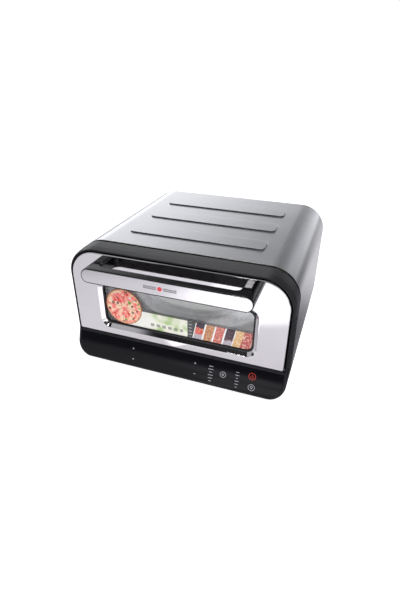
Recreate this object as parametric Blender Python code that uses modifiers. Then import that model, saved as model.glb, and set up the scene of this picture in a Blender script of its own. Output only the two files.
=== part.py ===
"""Countertop pizza oven with a drop-down door, modelled at rest: door shut, stone on its rack.

Metres. +Z is up, the door faces -Y, X runs to the user's right, and the feet stand on z = 0.
Every length in y below is written as a distance behind the face of the door, and at() turns
it into the frame of the part, whose origin is under the middle of the whole object.
"""

import math

import bmesh
import bpy
from mathutils import Matrix, Vector

# Overall sizes
WIDTH = 0.460  # over the wrap-around shell
HEIGHT = 0.263  # floor to the top of the shell, ribs not counted
BODY_DEPTH = 0.428  # face of the door to the back edge of the shell
HANDLE_REACH = 0.051  # handle in front of the face of the door
GLAND_OUT = 0.010  # cord gland behind the shell
FLOOR_GAP = 0.008  # underside of the body above the floor

# Body
SHEET = 0.0008
R_TOP = 0.060
R_LOW = 0.034
GAP = 0.0003  # between pieces that touch
BEZEL_DEPTH = 0.0494  # face of the door to the front edge of the shell
SHADOW_GAP = 0.0055  # groove between the bezel and the shell
PANEL_TOP = 0.0687
PANEL_LEAN = 0.0207 / 0.0596  # the control panel leans out towards its foot

# Stiffening ribs across the top of the shell: as many as fit behind the first
RIB_FIRST = 0.0816  # front edge of the shell to the middle of the first
RIB_PITCH = 0.1025
RIB_WIDE = 0.0480
RIB_SIDE = 0.085  # side of the shell to the end of a rib
RIB_RISE = 0.0025

# Door
DOOR_GAP = 0.0019  # between the door and the control panel
DOOR_LOW = PANEL_TOP + DOOR_GAP
DOOR_RISE = HEIGHT - 0.0064  # top of the door
DOOR_HALF = WIDTH / 2 - 0.0084
DOOR_R = R_TOP - 0.004
HINGE_Y = 0.005
HINGE_Z = DOOR_LOW + 0.005
GLASS_HALF = WIDTH / 2 - 0.072  # what shows of the window
GLASS_LOW = DOOR_LOW + 0.0264
GLASS_TOP = HEIGHT - 0.076
RECESS = 0.009
LABEL_RISE = 0.0378  # height of the strip label

# Handle
GRIP_HALF = WIDTH / 2 - 0.0648
GRIP_LOW = HEIGHT - 0.0452
GRIP_TOP = HEIGHT - 0.0171
GRIP_BAR = 0.021
GRIP_LEAN = 0.1355

# Cavity
CAV_HALF = WIDTH / 2 - 0.050
CAV_LOW = DOOR_LOW + 0.0214
CAV_TOP = HEIGHT - 0.031
CAV_FRONT = 0.0435
CAV_BACK = BODY_DEPTH - 0.033
WOOL = 0.0148
LINER = 0.0007
STONE_R = min(CAV_HALF, (CAV_BACK - CAV_FRONT) / 2) - 0.025
STONE_THICK = 0.010
STONE_Z = CAV_LOW + 0.026

HALF = WIDTH / 2
FRONT = HANDLE_REACH - (HANDLE_REACH + BODY_DEPTH + GLAND_OUT) / 2
STONE_Y = (CAV_FRONT + CAV_BACK) / 2

MATERIALS = {
    "polished_stainless": ((0.72, 0.71, 0.72), 1.0, 0.12),
    "satin_grey_enamel": ((0.33, 0.34, 0.36), 0.6, 0.35),
    "black_moulding": ((0.022, 0.022, 0.024), 0.0, 0.4),
    "gloss_black_moulding": ((0.008, 0.008, 0.009), 0.0, 0.12),
    "black_panel_glass": ((0.004, 0.004, 0.006), 0.0, 0.05),
    "clear_tempered_glass": ((0.82, 0.85, 0.84), 0.0, 0.03),
    "black_silicone": ((0.015, 0.015, 0.015), 0.0, 0.6),
    "foot_rubber": ((0.02, 0.02, 0.02), 0.0, 0.8),
    "aluminised_steel": ((0.52, 0.53, 0.54), 1.0, 0.35),
    "galvanised_steel": ((0.45, 0.46, 0.48), 1.0, 0.45),
    "mineral_wool": ((0.72, 0.66, 0.48), 0.0, 0.95),
    "heater_alloy": ((0.16, 0.15, 0.14), 0.8, 0.5),
    "cordierite": ((0.50, 0.47, 0.42), 0.0, 0.9),
    "circuit_board_green": ((0.02, 0.16, 0.07), 0.0, 0.5),
    "component_plastic": ((0.03, 0.05, 0.09), 0.0, 0.5),
    "copper_winding": ((0.7, 0.33, 0.16), 1.0, 0.35),
    "cream_nylon": ((0.78, 0.74, 0.62), 0.0, 0.5),
    "ceramic_white": ((0.85, 0.83, 0.78), 0.0, 0.5),
    "spring_steel": ((0.35, 0.35, 0.36), 1.0, 0.3),
    "printed_label": ((0.82, 0.62, 0.48), 0.0, 0.45),
}


def clear_scene():
    for obj in list(bpy.data.objects):
        bpy.data.objects.remove(obj, do_unlink=True)


def collection(name):
    group = bpy.data.collections.new(name)
    bpy.context.scene.collection.children.link(group)
    return group


def material(name):
    found = bpy.data.materials.get(name)
    if found:
        return found
    colour, metallic, roughness = MATERIALS[name]
    made = bpy.data.materials.new(name)
    made.use_nodes = True
    shader = made.node_tree.nodes["Principled BSDF"]
    shader.inputs["Base Color"].default_value = (*colour, 1.0)
    shader.inputs["Metallic"].default_value = metallic
    shader.inputs["Roughness"].default_value = roughness
    if "glass" in name and "clear" in name:
        shader.inputs["Transmission Weight"].default_value = 1.0
    made.diffuse_color = (*colour, 1.0)
    return made


def at(x, y, z):
    """A point from its distance behind the face of the door."""
    return Vector((x, FRONT + y, z))


# ---- shapes -------------------------------------------------------------------------------


def place(name, bm, slot, smooth=False):
    """Closes a bmesh into a named object of the part, or a cutter when it has no material."""
    bmesh.ops.recalc_face_normals(bm, faces=bm.faces)
    mesh = bpy.data.meshes.new(name)
    bm.to_mesh(mesh)
    bm.free()
    obj = bpy.data.objects.new(name, mesh)
    if slot:
        mesh.materials.append(material(slot))
        PARTS.objects.link(obj)
    else:
        CUTTERS.objects.link(obj)
        obj.hide_render = True
        obj.display_type = "WIRE"
    if smooth:
        mesh.polygons.foreach_set("use_smooth", [True] * len(mesh.polygons))
    return obj


def loft(name, loops, slot, cyclic=False, closed=True, smooth=False):
    """Skins equal loops in turn. Cyclic joins the last to the first, and open loops get ends."""
    bm = bmesh.new()
    rows = [[bm.verts.new(point) for point in loop] for loop in loops]
    count = len(rows[0])
    pairs = list(zip(rows, rows[1:], strict=False))
    if cyclic:
        pairs.append((rows[-1], rows[0]))
    for first, second in pairs:
        for i in range(count if closed else count - 1):
            j = (i + 1) % count
            bm.faces.new((first[i], first[j], second[j], second[i]))
    if not cyclic:
        bm.faces.new(rows[0])
        bm.faces.new(list(reversed(rows[-1])))
    if not closed:
        bm.faces.new([row[0] for row in rows])
        bm.faces.new([row[-1] for row in rows])
    return place(name, bm, slot, smooth)


def arc(x, z, radius, start, steps):
    turns = [math.radians(start - 90 * i / steps) for i in range(steps + 1)]
    return [(x + radius * math.cos(t), z + radius * math.sin(t)) for t in turns]


def ring(half, low, high, r_top, r_low, y, steps=6):
    """A rounded rectangle in XZ, clockwise from its lower left corner."""
    outline = arc(-half + r_low, low + r_low, r_low, 270, max(2, steps - 2))
    outline += arc(-half + r_top, high - r_top, r_top, 180, steps)
    outline += arc(half - r_top, high - r_top, r_top, 90, steps)
    outline += arc(half - r_low, low + r_low, r_low, 0, max(2, steps - 2))
    return [at(x, y, z) for x, z in outline]


def arch(half, low, high, radius, y, steps=6):
    """The same without its lower side, from the foot of the left leg to that of the right."""
    outline = [(-half, low)] + arc(-half + radius, high - radius, radius, 180, steps)
    outline += arc(half - radius, high - radius, radius, 90, steps) + [(half, low)]
    return [at(x, y, z) for x, z in outline]


def turned(name, profile, centre, axis, slot, cyclic=False, steps=20, smooth=True):
    """Turns (radius, distance along the axis) pairs. Cyclic leaves a bore."""
    axis = Vector(axis).normalized()
    side = axis.orthogonal().normalized()
    other = axis.cross(side)
    angles = [math.tau * i / steps for i in range(steps)]
    loops = [
        [centre + axis * h + (side * math.cos(a) + other * math.sin(a)) * r for a in angles]
        for r, h in profile
    ]
    return loft(name, loops, slot, cyclic=cyclic, smooth=smooth)


def block(name, x, y, z, slot, bevel=0.0):
    """A box from three (low, high) pairs."""
    bm = bmesh.new()
    bmesh.ops.create_cube(bm, size=1.0)
    spans = (x, y, z)
    middle = at(*((low + high) / 2 for low, high in spans))
    scale = Matrix.Diagonal([high - low for low, high in spans]).to_4x4()
    bmesh.ops.transform(bm, matrix=Matrix.Translation(middle) @ scale, verts=bm.verts)
    obj = place(name, bm, slot)
    if bevel:
        soften(obj, bevel)
    return obj


def soften(obj, width, segments=1):
    edge = obj.modifiers.new("edges", "BEVEL")
    edge.width = width
    edge.segments = segments
    edge.limit_method = "ANGLE"
    edge.angle_limit = math.radians(50)


def tube(name, points, radius, slot, cyclic=False, sides=2):
    """A round bar along a polyline, its ends filled."""
    curve = bpy.data.curves.new(name, "CURVE")
    curve.dimensions = "3D"
    curve.bevel_depth = radius
    curve.bevel_resolution = sides
    curve.use_fill_caps = True
    line = curve.splines.new("POLY")
    line.points.add(len(points) - 1)
    for knot, point in zip(line.points, points, strict=True):
        knot.co = (*point, 1.0)
    line.use_cyclic_u = cyclic
    line.use_smooth = True
    curve.materials.append(material(slot))
    obj = bpy.data.objects.new(name, curve)
    PARTS.objects.link(obj)
    return obj


def bent(corners, radius, steps=4):
    """A polyline with its corners rounded, for a tube."""
    points = [corners[0]]
    for before, corner, after in zip(corners, corners[1:], corners[2:], strict=False):
        one = (before - corner).normalized()
        two = (after - corner).normalized()
        reach = radius / math.tan(one.angle(two) / 2)
        start, end = corner + one * reach, corner + two * reach
        for i in range(steps + 1):
            t = i / steps
            points.append(start * (1 - t) ** 2 + corner * 2 * t * (1 - t) + end * t**2)
    return points + [corners[-1]]


def cut(obj, cutter, operation="DIFFERENCE"):
    step = obj.modifiers.new(cutter.name, "BOOLEAN")
    step.operation = operation
    step.solver = "EXACT"
    step.object = cutter
    return obj


def array_of_slots(name, centres, size, gap_axis):
    """Boxes joined into one cutter: they stand apart, so one Boolean cuts them all."""
    bm = bmesh.new()
    for centre in centres:
        scale = Matrix.Diagonal(size).to_4x4()
        made = bmesh.ops.create_cube(bm, size=1.0)
        bmesh.ops.transform(bm, matrix=Matrix.Translation(centre) @ scale, verts=made["verts"])
    along = [e for e in bm.edges if abs((e.verts[0].co - e.verts[1].co).normalized()[gap_axis]) > 0.9]
    bmesh.ops.bevel(bm, geom=along, offset=min(s for s in size if s) * 0.3, segments=1, affect="EDGES")
    return place(name, bm, None)


# ---- body ---------------------------------------------------------------------------------


def shell_path(inset, flange, y):
    """The open section of the shell: round the lower corners and in to a flange each side."""
    half, low, high = HALF - inset, FLOOR_GAP + inset, HEIGHT - inset
    top, foot = R_TOP - inset, R_LOW - inset
    path = [(-flange, low)] + arc(-half + foot, low + foot, foot, 270, 6)
    path += arc(-half + top, high - top, top, 180, 8) + arc(half - top, high - top, top, 90, 8)
    path += arc(half - foot, low + foot, foot, 0, 6) + [(flange, low)]
    return [at(x, y, z) for x, z in path]


RIB_ROOM = BODY_DEPTH - BEZEL_DEPTH - RIB_FIRST - RIB_WIDE / 2 - 0.020
RIBS = [BEZEL_DEPTH + RIB_FIRST + RIB_PITCH * i for i in range(1 + int(max(RIB_ROOM, 0) / RIB_PITCH))]
RIB_HALF = WIDTH / 2 - RIB_SIDE


def rib(name, y, grow, low, high, slot=None):
    """A raised rounded rectangle on the top of the shell, drawn in XY with sloping flanks."""
    def flat(inset, z):
        half, deep, r = RIB_HALF + grow - inset, RIB_WIDE / 2 + grow - inset, 0.010
        outline = arc(-half + r, -deep + r, r, 270, 3) + arc(-half + r, deep - r, r, 180, 3)
        outline += arc(half - r, deep - r, r, 90, 3) + arc(half - r, -deep + r, r, 0, 3)
        return [at(a, y + b, z) for a, b in outline]

    return loft(name, [flat(0, low), flat(0.0006, high)], slot)


def outer_shell():
    flange = HALF - R_LOW - 0.018
    loops = [
        shell_path(0, flange, BEZEL_DEPTH),
        shell_path(0, flange, BODY_DEPTH),
        shell_path(SHEET, flange, BODY_DEPTH),
        shell_path(SHEET, flange, BEZEL_DEPTH),
    ]
    shell = loft("outer_shell", loops, "satin_grey_enamel", cyclic=True, closed=False)
    for i, y in enumerate(RIBS):
        cut(shell, rib(f"rib_{i}", y, 0, HEIGHT - SHEET / 2, HEIGHT + RIB_RISE), "UNION")
        cut(shell, rib(f"rib_hollow_{i}", y, -SHEET, HEIGHT - 2 * SHEET, HEIGHT + RIB_RISE - SHEET))
    return shell


def base_plate():
    z = FLOOR_GAP + SHEET + GAP
    half = HALF - R_LOW - 0.004
    plate = block(
        "base_plate",
        (-half, half),
        (BEZEL_DEPTH + GAP, BODY_DEPTH - 0.0035),
        (z, z + SHEET),
        "galvanised_steel",
    )
    for i, (x, y) in enumerate(FEET.values()):
        cut(plate, turned(f"foot_hole_{i}", [(0.0048, z - 0.004), (0.0048, z + 0.006)], at(x, y, 0), (0, 0, 1), None, steps=12))
    slots = [at(-0.12 + 0.012 * i, 0.16, z) for i in range(5)] + [at(0.06 + 0.012 * i, 0.16, z) for i in range(5)]
    cut(plate, array_of_slots("base_slots", slots, (0.004, 0.06, 0.01), 2))
    return plate


FOOT_X = HALF - R_LOW - 0.036
FEET = {
    "foot_front_left": (-FOOT_X, BEZEL_DEPTH + 0.026),
    "foot_front_right": (FOOT_X, BEZEL_DEPTH + 0.026),
    "foot_rear_left": (-FOOT_X, BODY_DEPTH - 0.043),
    "foot_rear_right": (FOOT_X, BODY_DEPTH - 0.043),
}


def feet():
    top = FLOOR_GAP + SHEET
    profile = [(0.0125, 0.0), (0.0135, 0.001), (0.0155, top - 0.0012), (0.0150, top), (0.0045, top), (0.0045, top + 0.0045)]
    for name, (x, y) in FEET.items():
        turned(name, profile, at(x, y, 0), (0, 0, 1), "foot_rubber", steps=16)


def rear_panel():
    inset = SHEET + GAP
    y = BODY_DEPTH - 0.0030
    loops = [
        ring(HALF - inset, FLOOR_GAP + inset, HEIGHT - inset, R_TOP - inset, R_LOW - inset, y, 8),
        ring(HALF - inset, FLOOR_GAP + inset, HEIGHT - inset, R_TOP - inset, R_LOW - inset, y + SHEET, 8),
    ]
    panel = loft("rear_panel", loops, "galvanised_steel")
    fan = [at(FAN_X - 0.020 + 0.010 * i, y, FAN_Z) for i in range(5)]
    cut(panel, array_of_slots("fan_slots", fan, (0.005, 0.02, 0.046), 1))
    upper = [at(-0.105 + 0.030 * i, y, HEIGHT - 0.052) for i in range(8)]
    cut(panel, array_of_slots("upper_slots", upper, (0.020, 0.02, 0.006), 1))
    cut(panel, turned("gland_hole", [(0.0083, -0.01), (0.0083, 0.01)], at(GLAND_X, y, GLAND_Z), (0, 1, 0), None, steps=16))
    return panel


GLAND_X = HALF - 0.065
GLAND_Z = 0.042


def cord_gland():
    """A bush through the rear panel, bored for the cord."""
    y = BODY_DEPTH - 0.0030
    outer = SHEET + GAP
    end = BODY_DEPTH + GLAND_OUT - y
    profile = [
        (0.0040, -0.0090),
        (0.0105, -0.0090),
        (0.0115, -0.0080),
        (0.0115, -GAP),
        (0.0080, -GAP),
        (0.0080, outer),
        (0.0125, outer),
        (0.0120, outer + 0.0035),
        (0.0085, outer + 0.0040),
        (0.0072, end),
        (0.0040, end),
    ]
    turned("cord_gland", profile, at(GLAND_X, y, GLAND_Z), (0, 1, 0), "black_moulding", cyclic=True, steps=16)


def front_bezel():
    """The dark moulding between the shell and the door, with a lip at the front."""
    foot = PANEL_TOP + 0.0006
    back = BEZEL_DEPTH - GAP
    in_half, in_top, in_r = DOOR_HALF + 0.0014, DOOR_RISE + 0.0015, DOOR_R + 0.0014
    sections = [
        (HALF - 0.0017, HEIGHT - 0.0017, R_TOP - 0.0017, back),
        (HALF - 0.0017, HEIGHT - 0.0017, R_TOP - 0.0017, back - SHADOW_GAP),
        (HALF - 0.0002, HEIGHT - 0.0002, R_TOP - 0.0002, back - SHADOW_GAP),
        (HALF - 0.0010, HEIGHT - 0.0005, R_TOP - 0.0010, 0.0200),
        (HALF - 0.0034, HEIGHT - 0.0012, R_TOP - 0.0016, 0.0032),
        (HALF - 0.0046, HEIGHT - 0.0022, R_TOP - 0.0020, 0.0012),
        (in_half + 0.0008, in_top + 0.0008, in_r + 0.0004, 0.0012),
        (in_half, in_top, in_r, 0.0030),
        (in_half, in_top, in_r, back),
    ]
    loops = [arch(half, foot, high, radius, y, 8) for half, high, radius, y in sections]
    bezel = loft("front_bezel", loops, "black_moulding", cyclic=True, closed=False)
    middle = (PANEL_TOP + DOOR_RISE) / 2 - 0.0187
    slots = [at(side * HALF, 0.0215, middle + 0.012 * (i - 3)) for side in (-1, 1) for i in range(7)]
    cut(bezel, array_of_slots("side_vents", slots, (0.03, 0.014, 0.0045), 0))
    for side in (-1, 1):
        pocket = turned(
            f"pin_pocket_{side}", [(0.0023, 0), (0.0023, 0.010)], at(side * (in_half + 0.0026), HINGE_Y, HINGE_Z), (-side, 0, 0), None, steps=12
        )
        cut(bezel, pocket)
    return bezel


# ---- control panel ------------------------------------------------------------------------


def lean(z):
    """How far the face of the control panel stands behind that of the door at this height."""
    return 0.0047 - (PANEL_TOP - z) * PANEL_LEAN


def tray(half, low, high, r_low, offset, y=None, steps=5):
    """The panel's outline: square above, round below, on its leaning face or on one plane."""
    outline = [(-half, high), (half, high)] + arc(half - r_low, low + r_low, r_low, 0, steps)
    outline += arc(-half + r_low, low + r_low, r_low, 270, steps)
    return [at(x, lean(z) + offset if y is None else y, z) for x, z in outline]


def control_panel_housing():
    half, low, high = HALF - 0.0002, FLOOR_GAP + 0.0004, PANEL_TOP
    glass = 0.0065 - GAP
    wall = 0.0026
    loops = [
        tray(half - glass, low + 0.0040, high - 0.0047, R_LOW - 0.006, 0.0024),
        tray(half - glass, low + 0.0040, high - 0.0047, R_LOW - 0.006, 0.0),
        tray(half - 0.0025, low + 0.0016, high - 0.0022, R_LOW - 0.0025, 0.0),
        tray(half, low, high, R_LOW, 0.0025),
        tray(half, low, high, R_LOW, 0, y=BEZEL_DEPTH - GAP),
        tray(half - wall, low + wall, high - wall, R_LOW - wall, 0, y=BEZEL_DEPTH - GAP),
        tray(half - wall, low + wall, high - wall, R_LOW - wall, 0.0052),
    ]
    housing = loft("control_panel_housing", loops, "black_moulding")
    window = leaning_box("display_window", (DISPLAY_X - 0.034, DISPLAY_X + 0.034), (0.0245, 0.0445), (-0.004, 0.012), None)
    return cut(housing, window)


def leaning_box(name, x, down, depth, slot):
    """A box set square to the leaning face: down from its upper edge and behind its surface."""
    turn = math.atan(PANEL_LEAN)
    bm = bmesh.new()
    bmesh.ops.create_cube(bm, size=1.0)
    size = Matrix.Diagonal((x[1] - x[0], depth[1] - depth[0], down[1] - down[0])).to_4x4()
    middle = Vector(((x[0] + x[1]) / 2, (depth[0] + depth[1]) / 2, -(down[0] + down[1]) / 2))
    frame = Matrix.Translation(at(0, 0.0047, PANEL_TOP)) @ Matrix.Rotation(-turn, 4, "X")
    bmesh.ops.transform(bm, matrix=frame @ Matrix.Translation(middle) @ size, verts=bm.verts)
    return place(name, bm, slot)


DISPLAY_X = -0.025


def control_panel():
    half, low, high = HALF - 0.0067, FLOOR_GAP + 0.0047, PANEL_TOP - 0.0050
    radius = R_LOW - 0.0063
    loops = [
        tray(half, low, high, radius, 0.0021),
        tray(half, low, high, radius, 0.0004),
        tray(half - 0.0004, low + 0.0004, high - 0.0004, radius, 0.0),
    ]
    loft("control_glass", loops, "black_panel_glass")
    leaning_box("display_module", (DISPLAY_X - 0.032, DISPLAY_X + 0.032), (0.0258, 0.0432), (0.0026, 0.0112), "component_plastic")
    leaning_box("control_board", (-0.115, HALF - 0.045), (0.010, 0.054), (0.0116, 0.0132), "circuit_board_green")


# ---- cavity -------------------------------------------------------------------------------


def cavity_front_frame():
    """The sheet that the door closes against, cut out for the mouth of the cavity."""
    half, top = DOOR_HALF + 0.0011, DOOR_RISE + 0.0012
    y = CAV_FRONT - GAP
    inner = (CAV_HALF - 0.0006, CAV_LOW + 0.0006, CAV_TOP - 0.0006, 0.010, 0.010)
    loops = [
        ring(half, PANEL_TOP + 0.0008, top, DOOR_R + 0.0014, 0.004, y - SHEET),
        ring(half, PANEL_TOP + 0.0008, top, DOOR_R + 0.0014, 0.004, y),
        ring(*inner, y),
        ring(*inner, y - SHEET),
    ]
    return loft("cavity_front_frame", loops, "aluminised_steel", cyclic=True)


def rear_holes(obj, radius, tag):
    """Ways through the back of the cavity for both heaters and both probes."""
    spots = [(x, z) for x, z in HEATER_ENDS] + [(x, z) for x, z, _ in PROBES.values()]
    for i, (x, z) in enumerate(spots):
        hole = turned(f"{tag}_{i}", [(radius, -0.02), (radius, 0.04)], at(x, CAV_BACK, z), (0, 1, 0), None, steps=10)
        cut(obj, hole)
    lamp = turned(f"{tag}_lamp", [(LAMP_R, -0.01), (LAMP_R, 0.03)], at(CAV_HALF, LAMP_Y, LAMP_Z), (1, 0, 0), None, steps=16)
    cut(obj, lamp)


HEATER_R = 0.00325
UPPER_Z = CAV_TOP - 0.016
LOWER_Z = CAV_LOW + 0.012
HEATER_ENDS = ((-0.030, UPPER_Z), (0.030, UPPER_Z), (-0.022, LOWER_Z), (0.022, LOWER_Z))
PROBES = {
    "upper_probe": (0.095, CAV_TOP - 0.034, 0.045),
    "lower_probe": (-0.095, CAV_LOW + 0.013, 0.035),
}
LAMP_Y = CAV_BACK - 0.085
LAMP_Z = CAV_TOP - 0.045
LAMP_R = 0.0165


def cavity_liner():
    wall = LINER
    r = 0.010
    loops = [
        ring(CAV_HALF, CAV_LOW, CAV_TOP, r, r, CAV_BACK, 5),
        ring(CAV_HALF, CAV_LOW, CAV_TOP, r, r, CAV_FRONT, 5),
        ring(CAV_HALF + wall, CAV_LOW - wall, CAV_TOP + wall, r + wall, r + wall, CAV_FRONT, 5),
        ring(CAV_HALF + wall, CAV_LOW - wall, CAV_TOP + wall, r + wall, r + wall, CAV_BACK + wall, 5),
    ]
    liner = loft("cavity_liner", loops, "aluminised_steel")
    rear_holes(liner, 0.0039, "liner_hole")
    return liner


def insulation_blanket():
    near, far = LINER + GAP, WOOL
    r = 0.010
    loops = [
        ring(CAV_HALF + near, CAV_LOW - near, CAV_TOP + near, r + near, r + near, CAV_BACK + near, 5),
        ring(CAV_HALF + near, CAV_LOW - near, CAV_TOP + near, r + near, r + near, CAV_FRONT, 5),
        ring(CAV_HALF + far, CAV_LOW - far, CAV_TOP + far, r + 0.005, r + 0.005, CAV_FRONT, 5),
        ring(CAV_HALF + far, CAV_LOW - far, CAV_TOP + far, r + 0.005, r + 0.005, CAV_BACK + far, 5),
    ]
    blanket = loft("insulation_blanket", loops, "mineral_wool")
    rear_holes(blanket, 0.0045, "blanket_hole")
    return blanket


def heaters():
    back = CAV_BACK + WOOL + 0.008
    near, far = CAV_FRONT + 0.040, CAV_BACK - 0.030
    wide = CAV_HALF - 0.045
    corners = [(-0.030, back), (-0.030, far), (-wide, far), (-wide, near), (wide, near), (wide, far), (0.030, far), (0.030, back)]
    path = bent([at(x, y, UPPER_Z) for x, y in corners], 0.014, 3)
    tube("upper_heater", path, HEATER_R, "heater_alloy")
    radius = STONE_R - 0.043
    start = math.asin(0.036 / radius)
    turns = [math.pi / 2 + start + (math.tau - 2 * start) * i / 28 for i in range(29)]
    hoop = [at(radius * math.cos(t), STONE_Y + radius * math.sin(t), LOWER_Z) for t in turns]
    left, right = (at(x, STONE_Y + radius + 0.016, LOWER_Z) for x in (-0.022, 0.022))
    tube("lower_heater", [at(-0.022, back, LOWER_Z), left] + hoop + [right, at(0.022, back, LOWER_Z)], HEATER_R, "heater_alloy")


def clip(name, centre, across, low, high):
    """A small plate round a heater, standing on the wall that it is fixed to."""
    half, thick, hole = 0.008, 0.0010, HEATER_R + GAP
    normal = Vector((1, 0, 0)) if across == "x" else Vector((0, 1, 0))
    side = Vector((0, 1, 0)) if across == "x" else Vector((1, 0, 0))
    loops = []
    for inner, d in ((False, -thick), (False, thick), (True, thick), (True, -thick)):
        loop = []
        for i in range(12):
            a = math.tau * (i + 0.5) / 12
            c, s = math.cos(a), math.sin(a)
            if inner:
                u, v = hole * c / math.cos(math.pi / 12), hole * s / math.cos(math.pi / 12)
            else:
                grow = max(abs(c), abs(s))
                u = half * c / grow
                v = (high - centre.z if s > 0 else centre.z - low) * s / grow
            loop.append(centre + side * u + Vector((0, 0, v)) + normal * d)
        loops.append(loop)
    loft(name, loops, "aluminised_steel", cyclic=True)


def heater_clips():
    wide = CAV_HALF - 0.045
    middle = CAV_FRONT + 0.17
    for name, x in (("upper_heater_clip_left", -wide), ("upper_heater_clip_right", wide)):
        clip(name, at(x, middle, UPPER_Z), "y", UPPER_Z - 0.006, CAV_TOP - GAP)
    clip("lower_heater_clip", at(0, STONE_Y - STONE_R + 0.043, LOWER_Z), "x", CAV_LOW + GAP, LOWER_Z + 0.006)


def stone_rack():
    """A sheet ring on four legs that carries the stone above the lower heater."""
    z = STONE_Z - GAP
    near, far, middle = STONE_R - 0.017, STONE_R + 0.005, STONE_R - 0.006
    profile = [(near, z - 0.0012), (far, z - 0.0012), (far, z), (near, z)]
    rack = turned("stone_rack", profile, at(0, STONE_Y, 0), (0, 0, 1), "aluminised_steel", cyclic=True, steps=36)
    for i in range(4):
        a = math.radians(45 + 90 * i)
        foot = at(middle * math.cos(a), STONE_Y + middle * math.sin(a), 0)
        leg = turned(f"rack_leg_{i}", [(0.004, CAV_LOW + GAP), (0.004, z - 0.0006)], foot, (0, 0, 1), None, steps=8)
        cut(rack, leg, "UNION")
    return rack


def pizza_stone():
    top = STONE_Z + STONE_THICK
    profile = [(STONE_R - 0.001, STONE_Z), (STONE_R, STONE_Z + 0.001), (STONE_R, top - 0.002), (STONE_R - 0.002, top)]
    turned("pizza_stone", profile, at(0, STONE_Y, 0), (0, 0, 1), "cordierite", steps=36)


def lamp_set():
    """Bulb, holder and cover of the oven light, on the right wall."""
    centre = at(CAV_HALF, LAMP_Y, LAMP_Z)
    cover = [(0.0195, -0.0036), (0.0210, -0.0028), (0.0210, -GAP), (0.0175, -GAP), (0.0165, -0.0018)]
    turned("lamp_cover", cover, centre, (1, 0, 0), "clear_tempered_glass", steps=20)
    bulb = [(0.0025, 0.0010), (0.0055, 0.0030), (0.0062, 0.0060), (0.0062, 0.0130), (0.0045, 0.0160)]
    turned("lamp_bulb", bulb, centre, (1, 0, 0), "clear_tempered_glass", steps=12)
    outside = WOOL + GAP
    holder = [(0.0120, outside - 0.0002), (0.0200, outside - 0.0002), (0.0200, outside + 0.004), (0.0130, outside + 0.005), (0.0120, 0.036)]
    holder[0:2] = [(0.0075, 0.0163), (0.0150, 0.0163), (0.0150, outside + 0.0008), (0.0200, outside + 0.0008)]
    turned("lamp_socket", holder, centre, (1, 0, 0), "ceramic_white", steps=16)


def probes():
    for name, (x, z, reach) in PROBES.items():
        profile = [(0.0015, -reach), (0.0025, -reach + 0.002), (0.0025, WOOL + GAP), (0.0080, WOOL + GAP), (0.0080, WOOL + 0.0023)]
        profile += [(0.0035, WOOL + 0.0023), (0.0035, WOOL + 0.009)]
        turned(name, profile, at(x, CAV_BACK, z), (0, 1, 0), "spring_steel", steps=10)
    z = CAV_TOP + WOOL + GAP
    cutout = [(0.0085, z), (0.0085, z + 0.0015), (0.0070, z + 0.0015), (0.0070, z + 0.0070)]
    turned("thermal_cutout", cutout, at(0.055, CAV_BACK - 0.060, 0), (0, 0, 1), "component_plastic", steps=14)


# ---- lower bay ----------------------------------------------------------------------------

FAN_X = -HALF + 0.105
FAN_Y = BODY_DEPTH - 0.034
FAN_Z = 0.0435
FAN_HALF = 0.030


def fan():
    """A square axial fan that blows through the slots of the rear panel."""
    centre = at(FAN_X, FAN_Y, FAN_Z)
    loops = []
    for inner, y in ((False, -0.011), (False, 0.011), (True, 0.011), (True, -0.011)):
        loop = []
        for i in range(24):
            a = math.tau * (i + 0.5) / 24
            c, s = math.cos(a), math.sin(a)
            scale = 0.0282 if inner else FAN_HALF / max(abs(c), abs(s))
            if not inner:
                scale = min(scale, FAN_HALF * 1.30)
            loop.append(centre + Vector((c * scale, y, s * scale)))
        loops.append(loop)
    housing = loft("fan_housing", loops, "black_moulding", cyclic=True)
    cup = turned("fan_cup", [(0.0115, 0.0085), (0.0115, 0.0110)], centre, (0, 1, 0), None, steps=14)
    spokes = [cup]
    for i in range(3):
        a = math.radians(90 + 120 * i)
        spoke = strut(f"fan_spoke_{i}", centre, a, 0.009, 0.0295, 0.0030, 0.0086, 0.0109)
        spokes.append(spoke)
    for spoke in spokes:
        cut(housing, spoke, "UNION")
    motor = [(0.0010, -0.0060), (0.0010, 0.0022), (0.0080, 0.0022), (0.0080, 0.0082)]
    turned("fan_motor", motor, centre, (0, 1, 0), "spring_steel", steps=16)
    bore = 0.00106
    hub = [(bore, -0.0095), (0.0095, -0.0095), (0.0110, -0.0085), (0.0110, 0.0017), (bore, 0.0017)]
    rotor = turned("fan_rotor", hub, centre, (0, 1, 0), "black_moulding", cyclic=True, steps=16)
    for i in range(7):
        cut(rotor, blade(f"fan_blade_{i}", centre, math.tau * i / 7), "UNION")
    hold_at(rotor, centre)
    return rotor


def strut(name, centre, angle, start, end, width, y0, y1):
    bm = bmesh.new()
    bmesh.ops.create_cube(bm, size=1.0)
    scale = Matrix.Diagonal((end - start, y1 - y0, width)).to_4x4()
    middle = Matrix.Translation(Vector(((start + end) / 2, (y0 + y1) / 2, 0)))
    frame = Matrix.Translation(centre) @ Matrix.Rotation(-angle, 4, "Y")
    bmesh.ops.transform(bm, matrix=frame @ middle @ scale, verts=bm.verts)
    return place(name, bm, None)


def blade(name, centre, angle):
    bm = bmesh.new()
    bmesh.ops.create_cube(bm, size=1.0)
    scale = Matrix.Diagonal((0.0175, 0.0010, 0.0120)).to_4x4()
    pitch = Matrix.Rotation(math.radians(38), 4, "X")
    middle = Matrix.Translation(Vector((0.0180, -0.0040, 0)))
    frame = Matrix.Translation(centre) @ Matrix.Rotation(-angle, 4, "Y")
    bmesh.ops.transform(bm, matrix=frame @ middle @ pitch @ scale, verts=bm.verts)
    return place(name, bm, None)


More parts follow.
